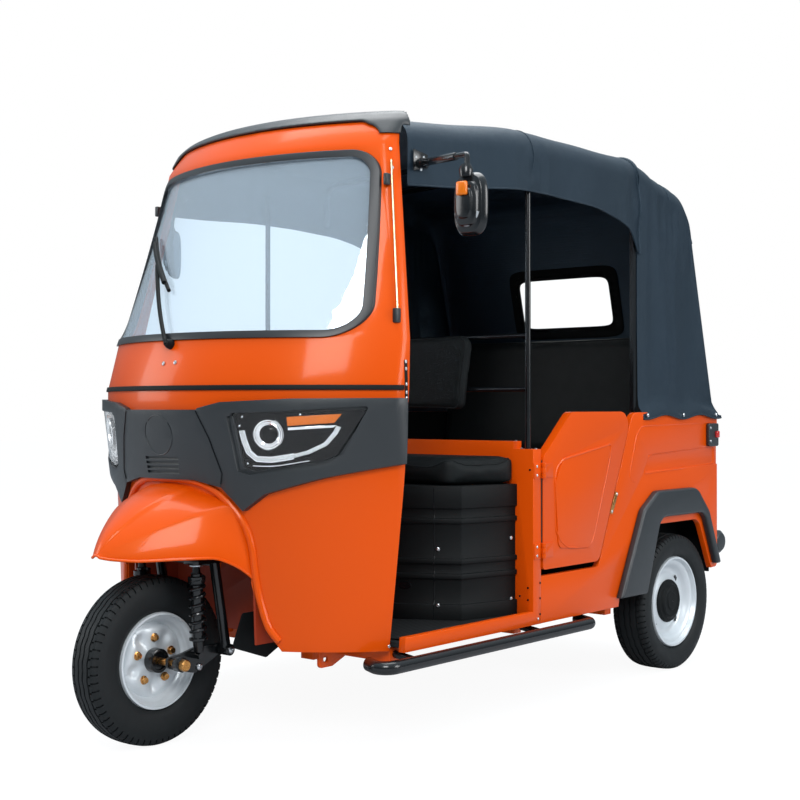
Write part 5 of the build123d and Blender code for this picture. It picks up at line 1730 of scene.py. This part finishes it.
class RICKSHAW_OT_rear_details(Piece, bpy.types.Operator):
    """Tail lamps, side markers, latch strikers and their screws"""
    bl_idname = "rickshaw.rear_details"
    bl_label = "Rear details"

    def build(self):
        face = BODY_HALF / MM
        lamps = rounded(frame_copy("rear_lamps", "rear_lamp_lenses"), 3 * MM, 3)
        hand_over(lamps, red_lens(), slot="red_lens", replaces=("rear_lamps",))
        second_material(lamps, moulded_plastic(), lambda centre, normal: abs(centre.x) > BODY_HALF)
        marker = rounded(box("marker_lens", at(face + 12, 2216, 842), at(face + 22, 2240, 868)), 4 * MM, 3)
        hand_over(with_twin(marker), red_lens(), slot="red_lens")
        edge = [(1474, 600), (1490, 594), (1527, 664), (1511, 672)]
        plate = slab("latch_striker", [at(face - 0.5, s, z) for s, z in edge], (3.5 * MM, 0, 0))
        hand_over(with_twin(rounded(plate, 1.2 * MM)), passivated_brass(), slot="brass")
        screws = [(at(face + 3, station, level), LEFT) for station, level in ((1484, 604), (1516, 662))]
        screws += [on_side(2178, level, ("rear_lamps",)) for level in (880, 830)]
        scattered("rear_screws", both_sides(screws), zinc_steel(), 5 * MM)


# The camera fitted to the photo: place, tilt and heading in degrees, focal length in picture widths
CAMERA_PLACE, CAMERA_TURN, CAMERA_FOCUS = (3.0375, -3.5458, 0.9574), (90.313, 40.12), 1.6935
SENSOR = 36
# Extra light that rays through the glass see, on the floor and in the world
GLASS_GLOW = 0.12


def seen_through(tree):
    """Whether a ray comes straight from the camera or through glass: (through glass, either)."""
    path = add(tree, "ShaderNodeLightPath")
    through = path.outputs["Is Transmission Ray"]
    either = add(tree, "ShaderNodeMath", {0: path.outputs["Is Camera Ray"], 1: through},
        operation="MAXIMUM")
    return through, either.outputs[0]


class RICKSHAW_OT_studio(Piece, bpy.types.Operator):
    """Pale floor, soft light and the camera"""
    bl_idname = "rickshaw.studio"
    bl_label = "Studio"

    def camera(self):
        tilt, heading = (math.radians(angle) for angle in CAMERA_TURN)
        bpy.ops.object.camera_add(location=CAMERA_PLACE, rotation=(tilt, 0, heading))
        camera = bpy.context.object
        camera.data.sensor_width = SENSOR
        camera.data.lens = CAMERA_FOCUS * SENSOR
        bpy.context.scene.camera = camera

    def floor(self):
        bpy.ops.mesh.primitive_plane_add(size=60, location=(0, 0, 0))
        floor = settle("floor")
        made = bpy.data.materials.new("white_floor")
        made.use_nodes = True
        tree = made.node_tree
        tree.nodes.clear()
        through, seen = seen_through(tree)
        diffuse = add(tree, "ShaderNodeBsdfDiffuse", {"Color": (0.42, 0.43, 0.45, 1)})
        level = add(tree, "ShaderNodeMath", {0: through, 1: GLASS_GLOW, 2: 1.17}, operation="MULTIPLY_ADD")
        glow = add(tree, "ShaderNodeEmission", {"Color": (1, 1, 1, 1), "Strength": level.outputs[0]})
        share = add(tree, "ShaderNodeMath", {0: seen, 1: 0.8}, operation="MULTIPLY")
        mixed = add(tree, "ShaderNodeMixShader", {0: share.outputs[0], 1: diffuse.outputs[0],
            2: glow.outputs[0]})
        add(tree, "ShaderNodeOutputMaterial", {"Surface": mixed.outputs[0]})
        floor.data.materials.append(made)

    def lights(self):
        # name, place, target, size, power
        rows = [
            ("key", (4.2, -5.2, 4.4), (0, -0.4, 0.9), 2.6, 290.0),
            ("top", (0.0, 0.3, 5.0), (0, 0, 0.8), 4.0, 260.0),
            ("fill", (-5.5, -4.5, 2.6), (0, 0, 1.0), 3.0, 130.0),
            ("side", (6.4, 2.0, 2.8), (0, 0.6, 0.9), 2.6, 190.0),
        ]
        for name, place, target, size, power in rows:
            turn = (Vector(target) - Vector(place)).to_track_quat("-Z", "Y").to_euler()
            bpy.ops.object.light_add(type="AREA", location=place, rotation=turn)
            light = bpy.context.object
            light.name = name + "_light"
            light.data.energy = power
            light.data.size = size

    def world(self):
        scene = bpy.context.scene
        scene.world = bpy.data.worlds.new("studio")
        scene.world.use_nodes = True
        tree = scene.world.node_tree
        tree.nodes.clear()
        through, seen = seen_through(tree)
        heading = add(tree, "ShaderNodeTexCoord").outputs["Generated"]
        rise = add(tree, "ShaderNodeSeparateXYZ", {"Vector": heading}).outputs["Z"]
        sky = add(tree, "ShaderNodeMapRange", {
            "Value": rise, "From Min": 0.05, "From Max": 0.95, "To Min": 0.16, "To Max": 1.25})
        level = add(tree, "ShaderNodeMapRange", {"Value": seen, "To Min": sky.outputs[0], "To Max": 1.0})
        total = add(tree, "ShaderNodeMath", {0: through, 1: GLASS_GLOW, 2: level.outputs[0]},
                    operation="MULTIPLY_ADD")
        tint = add(tree, "ShaderNodeMix", {"Factor": seen}, data_type="RGBA")
        tint.inputs[6].default_value = (0.76, 0.90, 1.0, 1)
        tint.inputs[7].default_value = (1, 1, 1, 1)
        back = add(tree, "ShaderNodeBackground", {"Color": tint.outputs[2], "Strength": total.outputs[0]})
        add(tree, "ShaderNodeOutputWorld", {"Surface": back.outputs[0]})
        scene.view_settings.view_transform = "Standard"

    def build(self):
        start_clean()
        self.camera()
        self.floor()
        self.lights()
        self.world()


PIECES = (
    RICKSHAW_OT_studio, RICKSHAW_OT_bodywork, RICKSHAW_OT_front_fender, RICKSHAW_OT_fascia,
    RICKSHAW_OT_glazing, RICKSHAW_OT_headlamps, RICKSHAW_OT_canopy, RICKSHAW_OT_poles, RICKSHAW_OT_doors,
    RICKSHAW_OT_fasteners, RICKSHAW_OT_seats, RICKSHAW_OT_wheels, RICKSHAW_OT_front_suspension,
    RICKSHAW_OT_mirrors, RICKSHAW_OT_pillar_rod, RICKSHAW_OT_rear_details)


class RICKSHAW_PT_panel(bpy.types.Panel):
    """Lists the operators with their colours and sizes"""
    bl_idname = "RICKSHAW_PT_panel"
    bl_label = "Rickshaw"
    bl_space_type = "VIEW_3D"
    bl_region_type = "UI"
    bl_category = "Rickshaw"

    def draw(self, context):
        for group in (context.scene.rickshaw_finish, context.scene.rickshaw_sizes):
            for key in group.__annotations__:
                self.layout.prop(group, key)
        for operator in PIECES:
            self.layout.operator(operator.bl_idname)


CLASSES = (RICKSHAW_PG_finish, RICKSHAW_PG_sizes, *PIECES, RICKSHAW_PT_panel)


def register():
    for item in CLASSES:
        bpy.utils.register_class(item)
    bpy.types.Scene.rickshaw_finish = bpy.props.PointerProperty(type=RICKSHAW_PG_finish)
    bpy.types.Scene.rickshaw_sizes = bpy.props.PointerProperty(type=RICKSHAW_PG_sizes)


def unregister():
    del bpy.types.Scene.rickshaw_sizes
    del bpy.types.Scene.rickshaw_finish
    for item in reversed(CLASSES):
        bpy.utils.unregister_class(item)


def main():
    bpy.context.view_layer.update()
    register()
    for operator in PIECES:
        group, name = operator.bl_idname.split(".")
        getattr(getattr(bpy.ops, group), name)()


if __name__ == "__main__":
    main()
